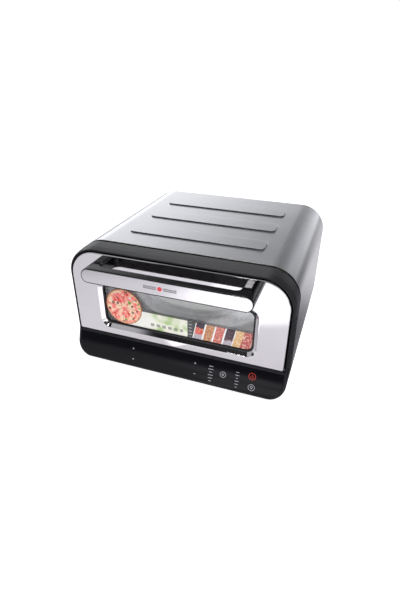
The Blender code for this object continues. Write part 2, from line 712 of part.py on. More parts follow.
def electronics():
    z = FLOOR_GAP + 2 * SHEET + 2 * GAP
    board = block("power_board", (0.030, 0.140), (0.250, 0.330), (z + 0.008, z + 0.0096), "circuit_board_green")
    for i, (x, y) in enumerate(((0.035, 0.255), (0.135, 0.255), (0.035, 0.325), (0.135, 0.325))):
        post = turned(f"post_{i}", [(0.003, z), (0.003, z + 0.009)], at(x, y, 0), (0, 0, 1), None, steps=8)
        cut(board, post, "UNION")
    top = z + 0.0096 + GAP
    block("upper_relay", (0.042, 0.058), (0.300, 0.320), (top, top + 0.016), "component_plastic", 0.0008)
    block("lower_relay", (0.064, 0.080), (0.300, 0.320), (top, top + 0.016), "component_plastic", 0.0008)
    block("board_transformer", (0.095, 0.130), (0.285, 0.315), (top, top + 0.024), "copper_winding", 0.0015)
    x = GLAND_X
    block("terminal_block", (x - 0.020, x + 0.020), (BODY_DEPTH - 0.078, BODY_DEPTH - 0.060), (z, z + 0.016), "cream_nylon", 0.001)


# ---- door ---------------------------------------------------------------------------------


def door_ring(side, low, top, y, radius=None, r_low=0.004):
    """The door's outline, drawn in by these amounts at its sides, foot and top."""
    radius = DOOR_R - side if radius is None else radius
    return ring(DOOR_HALF - side, DOOR_LOW + low, DOOR_RISE - top, radius, r_low, y, 8)


def window_ring(out, y, radius=0.013):
    radius = radius + out
    return ring(GLASS_HALF + out, GLASS_LOW - out, GLASS_TOP + out, radius, radius, y, 8)


def window_loop(out, y):
    """The window's outline with as many points as the door's, so that the two can be skinned."""
    return window_ring(out, y)


def door_outer_skin():
    loops = [
        door_ring(0, 0, 0, 0.018),
        door_ring(0, 0, 0, 0.0050),
        door_ring(0.0003, 0.0007, 0.0003, 0.0025),
        door_ring(0.0010, 0.0025, 0.0010, 0.0007),
        door_ring(0.0024, 0.0050, 0.0024, 0.0),
        window_loop(RECESS, 0.0),
        window_loop(RECESS - 0.0008, 0.0007),
        window_loop(0.0009, 0.0062),
        window_loop(0.0009, 0.0072),
        window_loop(RECESS + 0.0004, 0.0014),
        door_ring(0.0034, 0.0050, 0.0034, 0.0012, r_low=0.003),
        door_ring(0.0020, 0.0031, 0.0020, 0.0017, r_low=0.003),
        door_ring(0.0014, 0.0017, 0.0014, 0.0031, r_low=0.003),
        door_ring(0.0012, 0.0012, 0.0012, 0.0050, r_low=0.003),
        door_ring(0.0012, 0.0012, 0.0012, 0.018, r_low=0.003),
    ]
    skin = loft("door_outer_skin", loops, "polished_stainless", cyclic=True)
    for side, x in (("left", -SCREW_X), ("right", SCREW_X)):
        cut(skin, turned(f"skin_screw_{side}", [(0.0023, -0.004), (0.0023, 0.004)], at(x, 0, GRIP_Z), (0, 1, 0), None, steps=12))
    for name, (x, z) in PLUGS.items():
        cut(skin, turned(f"{name}_hole", [(0.0033, -0.004), (0.0033, 0.009)], at(x, 0, z), (0, 1, 0), None, steps=12))
    for side in (-1, 1):
        hole = turned(f"skin_pin_{side}", [(0.0024, 0), (0.0024, 0.012)], at(side * (DOOR_HALF + 0.004), HINGE_Y, HINGE_Z), (-side, 0, 0), None, steps=12)
        cut(skin, hole)
    return skin


def window_gasket():
    loops = [
        window_ring(-0.0018, 0.0060),
        window_ring(0.0006, 0.0060),
        window_ring(0.0006, 0.0075),
        window_ring(0.0075, 0.0075),
        window_ring(0.0075, 0.0090),
        window_ring(-0.0018, 0.0090),
    ]
    return loft("window_gasket", loops, "black_silicone", cyclic=True)


def door_glazing():
    for name, out, y, thick in (("door_glass_outer", 0.0072, 0.0093, 0.004), ("door_glass_inner", 0.0060, 0.0301, 0.004)):
        loft(name, [window_ring(out, y), window_ring(out, y + thick)], "clear_tempered_glass")
    loops = [window_ring(0.0072, 0.0136), window_ring(0.0072, 0.0298), window_ring(-0.0005, 0.0298), window_ring(-0.0005, 0.0136)]
    loft("glazing_spacer", loops, "black_moulding", cyclic=True)


def door_inner_panel():
    """A hat-shaped pressing: a flange behind the skin, and a raised middle with the inner window."""
    front, flange, rear = 0.0183, 0.0195, 0.0356
    loops = [
        door_ring(0.0008, 0.0010, 0.0008, front),
        door_ring(0.0008, 0.0010, 0.0008, flange),
        door_ring(0.0166, 0.0094, 0.0086, flange, radius=0.040, r_low=0.012),
        door_ring(0.0166, 0.0094, 0.0086, rear, radius=0.040, r_low=0.012),
        window_loop(-0.0040, rear),
        window_loop(-0.0040, rear - SHEET),
        door_ring(0.0178, 0.0106, 0.0098, rear - SHEET, radius=0.039, r_low=0.011),
        door_ring(0.0178, 0.0106, 0.0098, front, radius=0.039, r_low=0.011),
    ]
    return loft("door_inner_panel", loops, "aluminised_steel", cyclic=True)


def door_seal():
    """A soft rope round the mouth of the cavity, carried by the door."""
    y, r = 0.0388, 0.0029
    loops = []
    for i in range(6):
        a = math.tau * (i + 0.5) / 6
        out = 0.0095 + r * math.cos(a)
        loops.append(ring(CAV_HALF + out, CAV_LOW - 0.0015 - r * math.cos(a), CAV_TOP + 0.0045 + r * math.cos(a), 0.030 + r * math.cos(a), 0.010 + r * math.cos(a), y + r * math.sin(a)))
    return loft("door_seal", loops, "black_silicone", cyclic=True, smooth=True)


GRIP_Z = (GRIP_LOW + GRIP_TOP) / 2
SCREW_X = GRIP_HALF - 0.0150


def capsule(inset, y=None, offset=0.0, steps=8):
    """The handle's outline from the front, on one plane or on its leaning face."""
    r = (GRIP_TOP - GRIP_LOW) / 2 - inset
    half = GRIP_HALF - inset
    outline = []
    for centre, start in ((half - r, 90), (-half + r, -90)):
        for i in range(steps + 1):
            a = math.radians(start - 180 * i / steps)
            outline.append((centre + r * math.cos(a), GRIP_Z + r * math.sin(a)))

    def face(z):
        return -HANDLE_REACH + (z - GRIP_LOW - 0.0010) * GRIP_LEAN + offset

    return [at(x, face(z) if y is None else y, z) for x, z in outline]


def door_handle():
    """One moulding, bar and both arms, with the finger gap cut out between them."""
    loops = [
        capsule(0.0015, offset=0.0013),
        capsule(0.0015),
        capsule(0.0010),
        capsule(0.0, offset=0.0012),
        capsule(0.0, y=-GAP),
    ]
    handle = loft("door_handle", loops, "gloss_black_moulding")
    gap, r, back = GRIP_HALF - 0.030, 0.010, -HANDLE_REACH + GRIP_BAR + 0.002
    outline = [(-gap, 0.02), (gap, 0.02)] + arc(gap - r, back + r, r, 0, 4) + arc(-gap + r, back + r, r, 270, 4)
    fingers = [[at(x, y, z) for x, y in outline] for z in (GRIP_LOW - 0.01, GRIP_TOP + 0.01)]
    cut(handle, loft("finger_gap", fingers, None))
    for side, x in (("left", -SCREW_X), ("right", SCREW_X)):
        cut(handle, turned(f"handle_bore_{side}", [(0.0023, -0.018), (0.0023, 0.004)], at(x, 0, GRIP_Z), (0, 1, 0), None, steps=12))
        profile = [(0.0020, -0.0175), (0.0020, 0.0015), (0.0042, 0.0015), (0.0042, 0.0030), (0.0030, 0.0040)]
        turned(f"handle_screw_{side}", profile, at(x, 0, GRIP_Z), (0, 1, 0), "spring_steel", steps=12)
    loft("handle_plate", [capsule(0.0018, offset=0.0010), capsule(0.0018, offset=0.0002), capsule(0.0021)], "polished_stainless")
    return handle


def hinge():
    """Pins held in the bezel, bushes in the door, and a coil round each pin inside the door."""
    for side, name in ((-1, "left"), (1, "right")):
        centre = at(side * DOOR_HALF, HINGE_Y, HINGE_Z)
        inwards = (-side, 0, 0)
        turned(f"hinge_pin_{name}", [(0.0016, -0.0038), (0.0019, -0.0034), (0.0019, 0.0270), (0.0016, 0.0275)], centre, inwards, "spring_steel")
        bore = 0.00197
        bush = [(bore, 0.0031), (0.0033, 0.0031), (0.0033, 0.0098), (bore, 0.0098)]
        turned(f"hinge_bush_{name}", bush, centre, inwards, "cream_nylon", cyclic=True)
        coil = []
        for i in range(49):
            a = math.tau * i / 8
            along = 0.0105 + 0.0145 * i / 48
            coil.append(at(side * (DOOR_HALF - along), HINGE_Y + 0.0028 * math.cos(a), HINGE_Z + 0.0028 * math.sin(a)))
        tube(f"door_spring_{name}", coil, 0.0004, "spring_steel", sides=0)


PLUGS = {
    "window_plug_lower_left": (-GLASS_HALF - 0.0018, GLASS_LOW - 0.0010),
    "window_plug_lower_right": (GLASS_HALF + 0.0018, GLASS_LOW - 0.0010),
    "window_plug_upper_left": (-GLASS_HALF - 0.0018, GLASS_TOP + 0.0010),
    "window_plug_upper_right": (GLASS_HALF + 0.0018, GLASS_TOP + 0.0010),
}


def window_plugs():
    """Soft plugs through the corners of the window's recess."""
    profile = [(0.0024, 0.0002), (0.0030, 0.0008), (0.0030, 0.0071)]
    for name, (x, z) in PLUGS.items():
        turned(name, profile, at(x, 0.0, z), (0, 1, 0), "black_silicone", steps=12)


def labels():
    """Two printed labels on the front of the window glass: a disc, and a strip cut round it."""
    front, back = 0.0093 - GAP - 0.00035, 0.0093 - GAP
    radius = min(0.0405, (GLASS_TOP - GLASS_LOW) / 2 - 0.004)
    x, z = -GLASS_HALF + radius + 0.0028, GLASS_LOW + radius + 0.0027
    turned("label_round", [(radius, front), (radius, back)], at(x, 0, z), (0, 1, 0), "printed_label", steps=36, smooth=False)
    low = GLASS_LOW + 0.0028
    high = min(low + LABEL_RISE, GLASS_TOP - 0.004)
    right, r = GLASS_HALF - 0.0024, 0.0125
    outline = [(x, low), (x, high), (right, high)] + arc(right - r, low + r, r, 0, 4)
    strip = loft("label_strip", [[at(a, y, b) for a, b in outline] for y in (front, back)], "printed_label")
    round_it = [(radius + GAP, front - 0.002), (radius + GAP, back + 0.002)]
    cut(strip, turned("strip_cut", round_it, at(x, 0, z), (0, 1, 0), None, steps=36))


def hold_at(obj, point):
    """Moves an object's origin to a joint's axis and leaves the object where it is."""
    offset = Matrix.Translation(point)
    obj.data.transform(offset.inverted())
    obj.matrix_world = offset


def door():
    axis = bpy.data.objects.new("door_axis", None)
    axis.location = at(0, HINGE_Y, HINGE_Z)
    PARTS.objects.link(axis)
    before = set(PARTS.objects)
    door_outer_skin()
    window_gasket()
    door_glazing()
    door_inner_panel()
    door_seal()
    door_handle()
    window_plugs()
    labels()
    hinge()
    bpy.context.view_layer.update()
    for obj in set(PARTS.objects) - before:
        if not obj.name.startswith("hinge_pin"):
            obj.parent = axis
            obj.matrix_parent_inverse = axis.matrix_world.inverted()


clear_scene()
PARTS = collection("countertop_pizza_oven")
CUTTERS = collection("cutters")
CUTTERS.hide_render = True

outer_shell()
base_plate()
feet()
rear_panel()
cord_gland()
front_bezel()
control_panel_housing()
control_panel()
cavity_front_frame()
cavity_liner()
insulation_blanket()
heaters()
heater_clips()
stone_rack()
hold_at(bpy.data.objects["stone_rack"], at(0, STONE_Y, 0))
pizza_stone()
lamp_set()
probes()
fan()
electronics()
door()
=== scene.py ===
# %% [markdown]
# # A countertop pizza oven, piece by piece
# A drop-down door with a window, a bar handle, a leaning glass control panel and a wrap-around
# metal shell. Each cell below makes one piece and prints what it made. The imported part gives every
# position: the pieces here stand where its nodes stand and move with its bodies.

import math

import bmesh
import bpy
from mathutils import Matrix, Vector


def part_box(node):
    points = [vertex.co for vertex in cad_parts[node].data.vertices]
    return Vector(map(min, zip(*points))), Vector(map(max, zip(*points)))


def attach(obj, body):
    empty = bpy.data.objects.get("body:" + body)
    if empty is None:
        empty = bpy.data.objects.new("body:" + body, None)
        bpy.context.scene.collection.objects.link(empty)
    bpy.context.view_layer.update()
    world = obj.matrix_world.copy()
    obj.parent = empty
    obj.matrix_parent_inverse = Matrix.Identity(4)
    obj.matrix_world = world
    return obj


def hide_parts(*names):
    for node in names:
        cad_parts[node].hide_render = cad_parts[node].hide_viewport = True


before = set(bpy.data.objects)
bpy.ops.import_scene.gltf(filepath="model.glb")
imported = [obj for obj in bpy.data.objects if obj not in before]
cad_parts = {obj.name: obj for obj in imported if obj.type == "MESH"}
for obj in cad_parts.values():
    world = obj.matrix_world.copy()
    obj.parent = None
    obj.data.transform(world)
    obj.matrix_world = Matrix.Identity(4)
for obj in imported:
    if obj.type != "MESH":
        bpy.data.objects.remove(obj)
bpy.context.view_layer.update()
SHELL, SKIN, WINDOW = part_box("outer_shell"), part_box("door_outer_skin"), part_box("window_gasket")
FACE = SKIN[0].y  # plane of the door's face: lengths in y are distances behind it
HALF, LOW, TOP = SHELL[1].x, SHELL[0].z, SHELL[1].z - 0.0025
SHELL_Y = SHELL[0].y - FACE, SHELL[1].y - FACE

# %% [markdown]
# ## Helpers for shapes
# Sheet metal and mouldings are drawn as a row of matching outlines, skinned in turn. Rounded edges
# are part of the outlines, so every highlight runs along real geometry. Flat faces keep true
# normals through weighted normals, which is what a mirror finish needs.


# %% Outlines and skins
def at(x, y, z):
    return Vector((x, FACE + y, z))


def arc(cx, cz, r, a0, a1, n):
    turns = [math.radians(a0 + (a1 - a0) * i / n) for i in range(n + 1)]
    return [(cx + r * math.cos(t), cz + r * math.sin(t)) for t in turns]


def rounded(half, low, high, r_top, r_low, n=20):
    """A rounded rectangle about x = 0, clockwise from its lower left corner."""
    out = arc(-half + r_low, low + r_low, r_low, 270, 180, n)
    out += arc(-half + r_top, high - r_top, r_top, 180, 90, n)
    out += arc(half - r_top, high - r_top, r_top, 90, 0, n)
    return out + arc(half - r_low, low + r_low, r_low, 0, -90, n)


def mesh_of(name, bm):
    bmesh.ops.recalc_face_normals(bm, faces=bm.faces)
    mesh = bpy.data.meshes.new(name)
    bm.to_mesh(mesh)
    bm.free()
    obj = bpy.data.objects.new(name, mesh)
    bpy.context.scene.collection.objects.link(obj)
    return obj


def skin(name, loops, cyclic=False, closed=True):
    """Joins equal loops in turn. A cyclic skin is a ring; any other gets a face on each end."""
    bm = bmesh.new()
    rows = [[bm.verts.new(p) for p in loop] for loop in loops]
    count = len(rows[0])
    pairs = list(zip(rows, rows[1:])) + ([(rows[-1], rows[0])] if cyclic else [])
    for one, two in pairs:
        for i in range(count if closed else count - 1):
            j = (i + 1) % count
            bm.faces.new((one[i], one[j], two[j], two[i]))
    if not cyclic:
        bm.faces.new(rows[0])
        bm.faces.new(list(reversed(rows[-1])))
    if not closed:
        bm.faces.new([row[0] for row in rows])
        bm.faces.new([row[-1] for row in rows])
    bmesh.ops.remove_doubles(bm, verts=bm.verts, dist=1e-6)
    return mesh_of(name, bm)


def turned(name, profile, centre, axis, cyclic=False, steps=64):
    """Turns (radius, distance along the axis) pairs about an axis. Cyclic leaves a bore."""
    axis = Vector(axis).normalized()
    side = axis.orthogonal().normalized()
    other = axis.cross(side)
    turns = [math.tau * i / steps for i in range(steps)]
    return skin(
        name,
        [
            [centre + axis * h + (side * math.cos(a) + other * math.sin(a)) * r for a in turns]
            for r, h in profile
        ],
        cyclic,
    )


def soft_corners(profile, r, n=4):
    """Rounds every corner of an open profile by r, or by what its sides allow."""
    out = [profile[0]]
    for a, b, c in zip(profile, profile[1:], profile[2:]):
        a, b, c = Vector(a), Vector(b), Vector(c)
        reach = min(r, (a - b).length * 0.45, (c - b).length * 0.45)
        one, two = b + (a - b).normalized() * reach, b + (c - b).normalized() * reach
        out += [
            tuple(one * (1 - t) ** 2 + b * 2 * t * (1 - t) + two * t * t)
            for t in (i / n for i in range(n + 1))
        ]
    return out + [profile[-1]]


def pipe(name, points, radius, sides=16, cyclic=False):
    """A round bar swept along a line of points, its ends closed."""
    curve = bpy.data.curves.new(name, "CURVE")
    curve.dimensions, curve.use_fill_caps = "3D", True
    curve.bevel_depth, curve.bevel_resolution = radius, sides // 4
    line = curve.splines.new("POLY")
    line.points.add(len(points) - 1)
    for knot, p in zip(line.points, points):
        knot.co = (*p, 1)
    line.use_cyclic_u = cyclic
    return baked(bpy.data.objects.new(name, curve))


def baked(obj):
    """The evaluated mesh of an object in a fresh object of the same name, at the origin."""
    if obj.name not in bpy.context.scene.collection.objects:
        bpy.context.scene.collection.objects.link(obj)
    bpy.context.view_layer.update()
    graph = bpy.context.evaluated_depsgraph_get()
    mesh = bpy.data.meshes.new_from_object(obj.evaluated_get(graph), depsgraph=graph)
    mesh.transform(obj.matrix_world)
    name = obj.name
    bpy.data.objects.remove(obj)
    new = bpy.data.objects.new(name, mesh)
    new.name = name
    bpy.context.scene.collection.objects.link(new)
    return new


def boolean(obj, tool, operation="DIFFERENCE"):
    step = obj.modifiers.new("cut", "BOOLEAN")
    step.operation, step.solver, step.object = operation, "EXACT", tool
    made = baked(obj)
    bpy.data.objects.remove(tool)
    return made


def keep(obj, body, look, *nodes, angle=40, slot=None):
    """Shades a finished piece, gives it its look, and ties it to its body and CAD nodes.

    The slot argument is not used.
    """
    mesh = obj.data
    mesh.materials.clear()
    mesh.materials.append(look)
    mesh.shade_smooth()
    mesh.set_sharp_from_angle(angle=math.radians(angle))
    step = obj.modifiers.new("normals", "WEIGHTED_NORMAL")
    step.keep_sharp = True
    obj = baked(obj)
    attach(obj, body)
    if nodes:
        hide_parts(*nodes)
    print(f"{obj.name}: {len(obj.data.polygons)} faces")
    return obj


# %% [markdown]
# ## Copies through Geometry Nodes
# Vents, slots and screws are one shape many times over. A small node group puts the shape on each
# point of a mesh, turns it, makes it real and gives it a material. Its inputs have names, and are
# set by their identifiers before the group is evaluated.


# %% The group that makes copies
def copies_group():
    group = bpy.data.node_groups.new("copies", "GeometryNodeTree")
    face = group.interface
    kinds = {
        "Points": "Geometry", "Piece": "Object", "Turn": "Rotation",
        "Spin": "Float", "Seed": "Int", "Material": "Material",
    }
    for name, kind in kinds.items():
        face.new_socket(name, in_out="INPUT", socket_type=f"NodeSocket{kind}")
    face.new_socket("Copies", in_out="OUTPUT", socket_type="NodeSocketGeometry")
    add, link = group.nodes.new, group.links.new
    given, out = add("NodeGroupInput"), add("NodeGroupOutput")
    piece, place = add("GeometryNodeObjectInfo"), add("GeometryNodeInstanceOnPoints")
    spin, chance = add("GeometryNodeRotateInstances"), add("FunctionNodeRandomValue")
    real, paint = add("GeometryNodeRealizeInstances"), add("GeometryNodeSetMaterial")
    axis = add("ShaderNodeCombineXYZ")
    link(given.outputs["Piece"], piece.inputs["Object"])
    link(given.outputs["Points"], place.inputs["Points"])
    link(piece.outputs["Geometry"], place.inputs["Instance"])
    link(given.outputs["Turn"], place.inputs["Rotation"])
    link(
        given.outputs["Spin"],
        next(s for s in chance.inputs if s.name == "Max" and s.type == "VALUE"),
    )
    link(given.outputs["Seed"], chance.inputs["Seed"])
    link(next(s for s in chance.outputs if s.type == "VALUE"), axis.inputs["Z"])
    link(place.outputs["Instances"], spin.inputs["Instances"])
    link(axis.outputs["Vector"], spin.inputs["Rotation"])
    link(spin.outputs["Instances"], real.inputs["Geometry"])
    link(real.outputs["Geometry"], paint.inputs["Geometry"])
    link(given.outputs["Material"], paint.inputs["Material"])
    link(paint.outputs["Geometry"], out.inputs["Copies"])
    return group


COPIES = copies_group()


def copies(name, piece, spots, turn=(0, 0, 0), spin=0.0, seed=3, look=None):
    """One mesh that holds the piece once on every spot."""
    mesh = bpy.data.meshes.new(name)
    mesh.from_pydata([tuple(p) for p in spots], [], [])
    obj = bpy.data.objects.new(name, mesh)
    bpy.context.scene.collection.objects.link(obj)
    step = obj.modifiers.new("copies", "NODES")
    step.node_group = COPIES
    values = {"Piece": piece, "Turn": turn, "Spin": spin, "Seed": seed, "Material": look}
    for item in COPIES.interface.items_tree:
        if item.in_out == "INPUT" and item.name in values and values[item.name] is not None:
            step[item.identifier] = values[item.name]
    made = baked(obj)
    bpy.data.objects.remove(piece)
    print(f"{name}: {len(spots)} copies")
    return made


def slot_tool(name, long, wide, deep, r, axis):
    """A rounded slot to cut with: long across, wide upwards, and deep along its axis (x or y)."""
    outline = [Vector((x, 0, z)) for x, z in rounded(long / 2, -wide / 2, wide / 2, r, r, 6)]
    turn = Matrix.Rotation(math.pi / 2 if axis == "x" else 0, 3, "Z")
    return skin(
        name, [[turn @ (p + Vector((0, y, 0))) for p in outline] for y in (-deep / 2, deep / 2)]
    )


# %% [markdown]
# ## Helpers for materials
# Each material is worked out from the place on the object, in metres, so nothing has to be
# unwrapped. `Value` lets ordinary arithmetic add the shader nodes.


# %% Shader arithmetic
class Value:
    """A number or vector socket of a shader; arithmetic on it adds nodes."""

    def __init__(self, shader, socket):
        self.shader, self.socket = shader, socket

    def math(self, kind, *others, clamp=False):
        node = self.shader.node(
            "ShaderNodeMath", {"operation": kind, "use_clamp": clamp}, self, *others
        )
        return Value(self.shader, node.outputs[0])

    def __add__(self, other):
        return self.math("ADD", other)

    def __sub__(self, other):
        return self.math("SUBTRACT", other)

    def __mul__(self, other):
        return self.math("MULTIPLY", other)

    def __truediv__(self, other):
        return self.math("DIVIDE", other)

    def __rsub__(self, other):
        return (self * -1) + other

    __radd__, __rmul__ = __add__, __mul__

    def __abs__(self):
        return self.math("ABSOLUTE")

    def __lt__(self, other):
        return self.math("LESS_THAN", other)

    def __gt__(self, other):
        return self.math("GREATER_THAN", other)

    def max(self, other):
        return self.math("MAXIMUM", other)

    def root(self):
        return self.math("SQRT")

    def repeat(self, size):
        """The distance from the middle of the nearest of many equal cells."""
        return self.math("PINGPONG", size / 2)

    def floor(self):
        return self.math("FLOOR")

    def soft(self, a, b):
        """0 before a, 1 after b, and a smooth step between."""
        node = self.shader.node(
            "ShaderNodeMapRange", {"interpolation_type": "SMOOTHSTEP"}, self, a, b, 0.0, 1.0
        )
        return Value(self.shader, node.outputs[0])


class Shader:
    def __init__(self, name, colour=(0.8, 0.8, 0.8), metallic=0.0, roughness=0.5, **more):
        self.material = bpy.data.materials.new(name)
        self.material.use_nodes = True
        self.material.diffuse_color = (*colour, 1)
        self.tree = self.material.node_tree
        self.bsdf = self.tree.nodes["Principled BSDF"]
        self.set(Base_Color=colour, Metallic=metallic, Roughness=roughness, **more)
        self.place = self.node("ShaderNodeTexCoord", {}).outputs["Object"]
        parts = self.node("ShaderNodeSeparateXYZ", {}, self.place)
        self.x, self.y, self.z = (Value(self, s) for s in parts.outputs)

    def node(self, kind, settings, *values, **named):
        """One node: its settings first, then its sockets in order or by name."""
        node = self.tree.nodes.new(kind)
        for key, value in settings.items():
            setattr(node, key, value)
        pairs = (
            [(node.inputs[i], v) for i, v in enumerate(values)]
            + [(node.inputs[k.replace("_", " ")], v) for k, v in named.items()]
        )
        for socket, value in pairs:
            self.feed(socket, value)
        return node

    def feed(self, socket, value):
        """Links a value into a socket, or sets it there. A colour may leave out its alpha."""
        value = value.socket if isinstance(value, Value) else value
        if isinstance(value, bpy.types.NodeSocket):
            self.tree.links.new(value, socket)
        else:
            bare = socket.type == "RGBA" and len(value) == 3
            socket.default_value = (*value, 1) if bare else value

    def set(self, **sockets):
        for key, value in sockets.items():
            self.feed(self.bsdf.inputs[key.replace("_", " ")], value)
        return self

    def noise(self, scale, stretch=(1, 1, 1), detail=3.0, rough=0.5):
        place = self.node("ShaderNodeMapping", {}, self.place, Scale=stretch).outputs[0]
        made = self.node(
            "ShaderNodeTexNoise", {}, Vector=place, Scale=scale, Detail=detail, Roughness=rough
        )
        return Value(self, made.outputs["Fac"])

    def cells(self, scale):
        """The distance to the nearest of many scattered points."""
        made = self.node("ShaderNodeTexVoronoi", {}, Vector=self.place, Scale=scale)
        return Value(self, made.outputs["Distance"])

    def lots(self, scale):
        """A number drawn at random for each of the same points."""
        made = self.node("ShaderNodeTexVoronoi", {}, Vector=self.place, Scale=scale)
        return Value(self, self.node("ShaderNodeSeparateXYZ", {}, made.outputs["Color"]).outputs[0])

    def mix(self, amount, one, two):
        """A colour between two; each is a colour, or a socket that holds one."""
        node = self.tree.nodes.new("ShaderNodeMix")
        node.data_type = "RGBA"
        for i, value in ((0, amount), (6, one), (7, two)):
            self.feed(node.inputs[i], value)
        return Value(self, node.outputs[2])

    def bump(self, height, strength=0.2, distance=0.0005):
        made = self.node("ShaderNodeBump", {}, Height=height, Strength=strength, Distance=distance)
        self.tree.links.new(made.outputs[0], self.bsdf.inputs["Normal"])
        return self


def most(*masks):
    """The largest of several masks at each place."""
    out = masks[0]
    for mask in masks[1:]:
        out = out.max(mask)
    return out


def grained(
    name, colour, metallic, roughness, grain=900.0, spread=0.08, bump=0.06, tint=0.12,
    stretch=(1, 1, 1), **more,
):
    """A surface with a fine grain in its colour, its gloss and its relief."""
    sh = Shader(name, colour, metallic, roughness, **more)
    fine, broad = sh.noise(grain, stretch), sh.noise(14.0, detail=2.0)
    dark = tuple(c * (1 - tint) for c in colour)
    light = tuple(min(1, c * (1 + tint)) for c in colour)
    sh.set(Base_Color=sh.mix((fine * 0.5 + broad * 0.5).soft(0.3, 0.7), dark, light))
    sh.set(Roughness=(fine * 0.4 + broad * 0.6 - 0.5) * (2 * spread) + roughness)
    return sh.bump(fine, bump, 0.0002)


# %% [markdown]
# ## The looks of the outside
# The door is polished stainless steel, the shell a satin grey finish over steel, and the mouldings
# black: matt round the door, glossy on the handle. The steel keeps a faint polish grain so that
# reflections break up a little.

# %% Metals and mouldings
POLISHED = grained(
    "polished_stainless", (0.76, 0.74, 0.765), 1.0, 0.055, grain=700, spread=0.02, bump=0.01,
    tint=0.02, stretch=(0.05, 1, 1),
).material
SATIN = grained(
    "satin_grey_enamel", (0.43, 0.435, 0.455), 0.88, 0.26, grain=2600, spread=0.03, bump=0.02,
    tint=0.04, Coat_Weight=0.1, Coat_Roughness=0.2,
)
MATT_BLACK = grained(
    "black_moulding", (0.016, 0.016, 0.019), 0.0, 0.42, grain=2200, spread=0.06, bump=0.08,
    tint=0.15, Specular_IOR_Level=0.22,
).material
GLOSS_BLACK = grained(
    "gloss_black_moulding", (0.004, 0.004, 0.005), 0.0, 0.13, grain=600, spread=0.03, bump=0.01,
    tint=0.1, Specular_IOR_Level=0.25,
).material
SILICONE = grained(
    "black_silicone", (0.014, 0.014, 0.015), 0.0, 0.55, grain=1500, spread=0.06, bump=0.05, tint=0.2
).material
RUBBER = grained(
    "foot_rubber", (0.02, 0.02, 0.021), 0.0, 0.78, grain=1800, spread=0.08, bump=0.15, tint=0.2
).material
ALUMINISED = grained(
    "aluminised_steel", (0.56, 0.56, 0.58), 0.6, 0.42, grain=1100, spread=0.06, bump=0.04,
    tint=0.07, stretch=(0.2, 0.2, 1),
).material
SPRING = grained(
    "spring_steel", (0.42, 0.42, 0.43), 1.0, 0.28, grain=1600, spread=0.06, bump=0.05, tint=0.08
).material
ALLOY = grained(
    "heater_alloy", (0.15, 0.14, 0.13), 0.7, 0.48, grain=900, spread=0.1, bump=0.1, tint=0.3
).material


def galvanised():
    sh = Shader("galvanised_steel", (0.45, 0.46, 0.48), 1.0, 0.42)
    bright, fine = sh.lots(160), sh.noise(1200)
    sh.set(
        Base_Color=sh.mix(bright, (0.38, 0.39, 0.41), (0.54, 0.55, 0.57)),
        Roughness=bright * 0.14 + 0.34,
    )
    return sh.bump(fine + bright * 0.5, 0.05).material


def wool():
    sh = Shader("mineral_wool", (0.72, 0.66, 0.48), 0.0, 0.95)
    fibre, clump = sh.noise(900, (1, 1, 6), 6.0, 0.7), sh.noise(60)
    sh.set(Base_Color=sh.mix(fibre.soft(0.3, 0.7), (0.5, 0.43, 0.27), (0.8, 0.75, 0.6)))
    return sh.bump(fibre + clump, 0.8, 0.002).material


def cordierite():
    sh = Shader("cordierite", (0.50, 0.47, 0.42), 0.0, 0.88)
    grit, speck = sh.noise(420, detail=5.0), sh.cells(900)
    tone = sh.mix(grit.soft(0.3, 0.7), (0.19, 0.18, 0.155), (0.27, 0.255, 0.225))
    sh.set(Base_Color=sh.mix((0.22 - speck).soft(0.0, 0.08), tone.socket, (0.17, 0.13, 0.10)))
    return sh.bump(grit + speck, 0.3, 0.0004).material


def glass():
    """Thin clear glass: mostly seen through, with a reflection that grows at a slant."""
    sh = Shader("clear_tempered_glass", (0.95, 0.95, 0.95), 1.0, 0.02)
    smear = sh.noise(25, detail=4.0)
    sh.set(
        Base_Color=sh.mix(smear, (0.92, 0.93, 0.94), (0.99, 0.99, 0.99)),
        Roughness=smear * 0.02 + 0.01,
    )
    clear = sh.node("ShaderNodeBsdfTransparent", {}, (0.955, 0.965, 0.965, 1))
    slant = Value(sh, sh.node("ShaderNodeLayerWeight", {}, 0.35).outputs["Fresnel"])
    both = sh.node(
        "ShaderNodeMixShader", {}, slant * 0.8 + 0.075, clear.outputs[0], sh.bsdf.outputs[0]
    )
    out = sh.tree.nodes["Material Output"]
    sh.tree.links.new(both.outputs[0], out.inputs["Surface"])
    return sh.material


GALVANISED, WOOL, STONE, GLASS = galvanised(), wool(), cordierite(), glass()

# %% [markdown]
# ## Looks of the hidden pieces
# The boards, relays and windings sit behind the panels. They are carried over from the packed
# part, each with a surface of its own: tracks on the boards, turns of wire on the transformer.


# %% Boards, windings, plastics
def board():
    sh = Shader("circuit_board_green", (0.02, 0.16, 0.07), 0.0, 0.45)
    track = (sh.x.repeat(0.0036) - sh.noise(90) * 0.0012).soft(0.0004, 0.0006)
    pads = (sh.cells(260) - 0.16).soft(0.0, 0.03)
    tone = sh.mix(track, (0.05, 0.28, 0.12), (0.015, 0.13, 0.055))
    sh.set(Base_Color=sh.mix(pads, (0.6, 0.5, 0.3), tone.socket), Metallic=(1 - pads) * 0.8)
    return sh.bump(track, 0.15).material


def winding():
    sh = Shader("copper_winding", (0.7, 0.33, 0.16), 0.9, 0.35)
    turns = (sh.z + sh.noise(300) * 0.0002).repeat(0.0009)
    sh.set(
        Base_Color=sh.mix(turns * 2200, (0.35, 0.13, 0.05), (0.8, 0.4, 0.2)),
        Roughness=turns * 300 + 0.25,
    )
    return sh.bump(turns * 900, 0.5, 0.0004).material


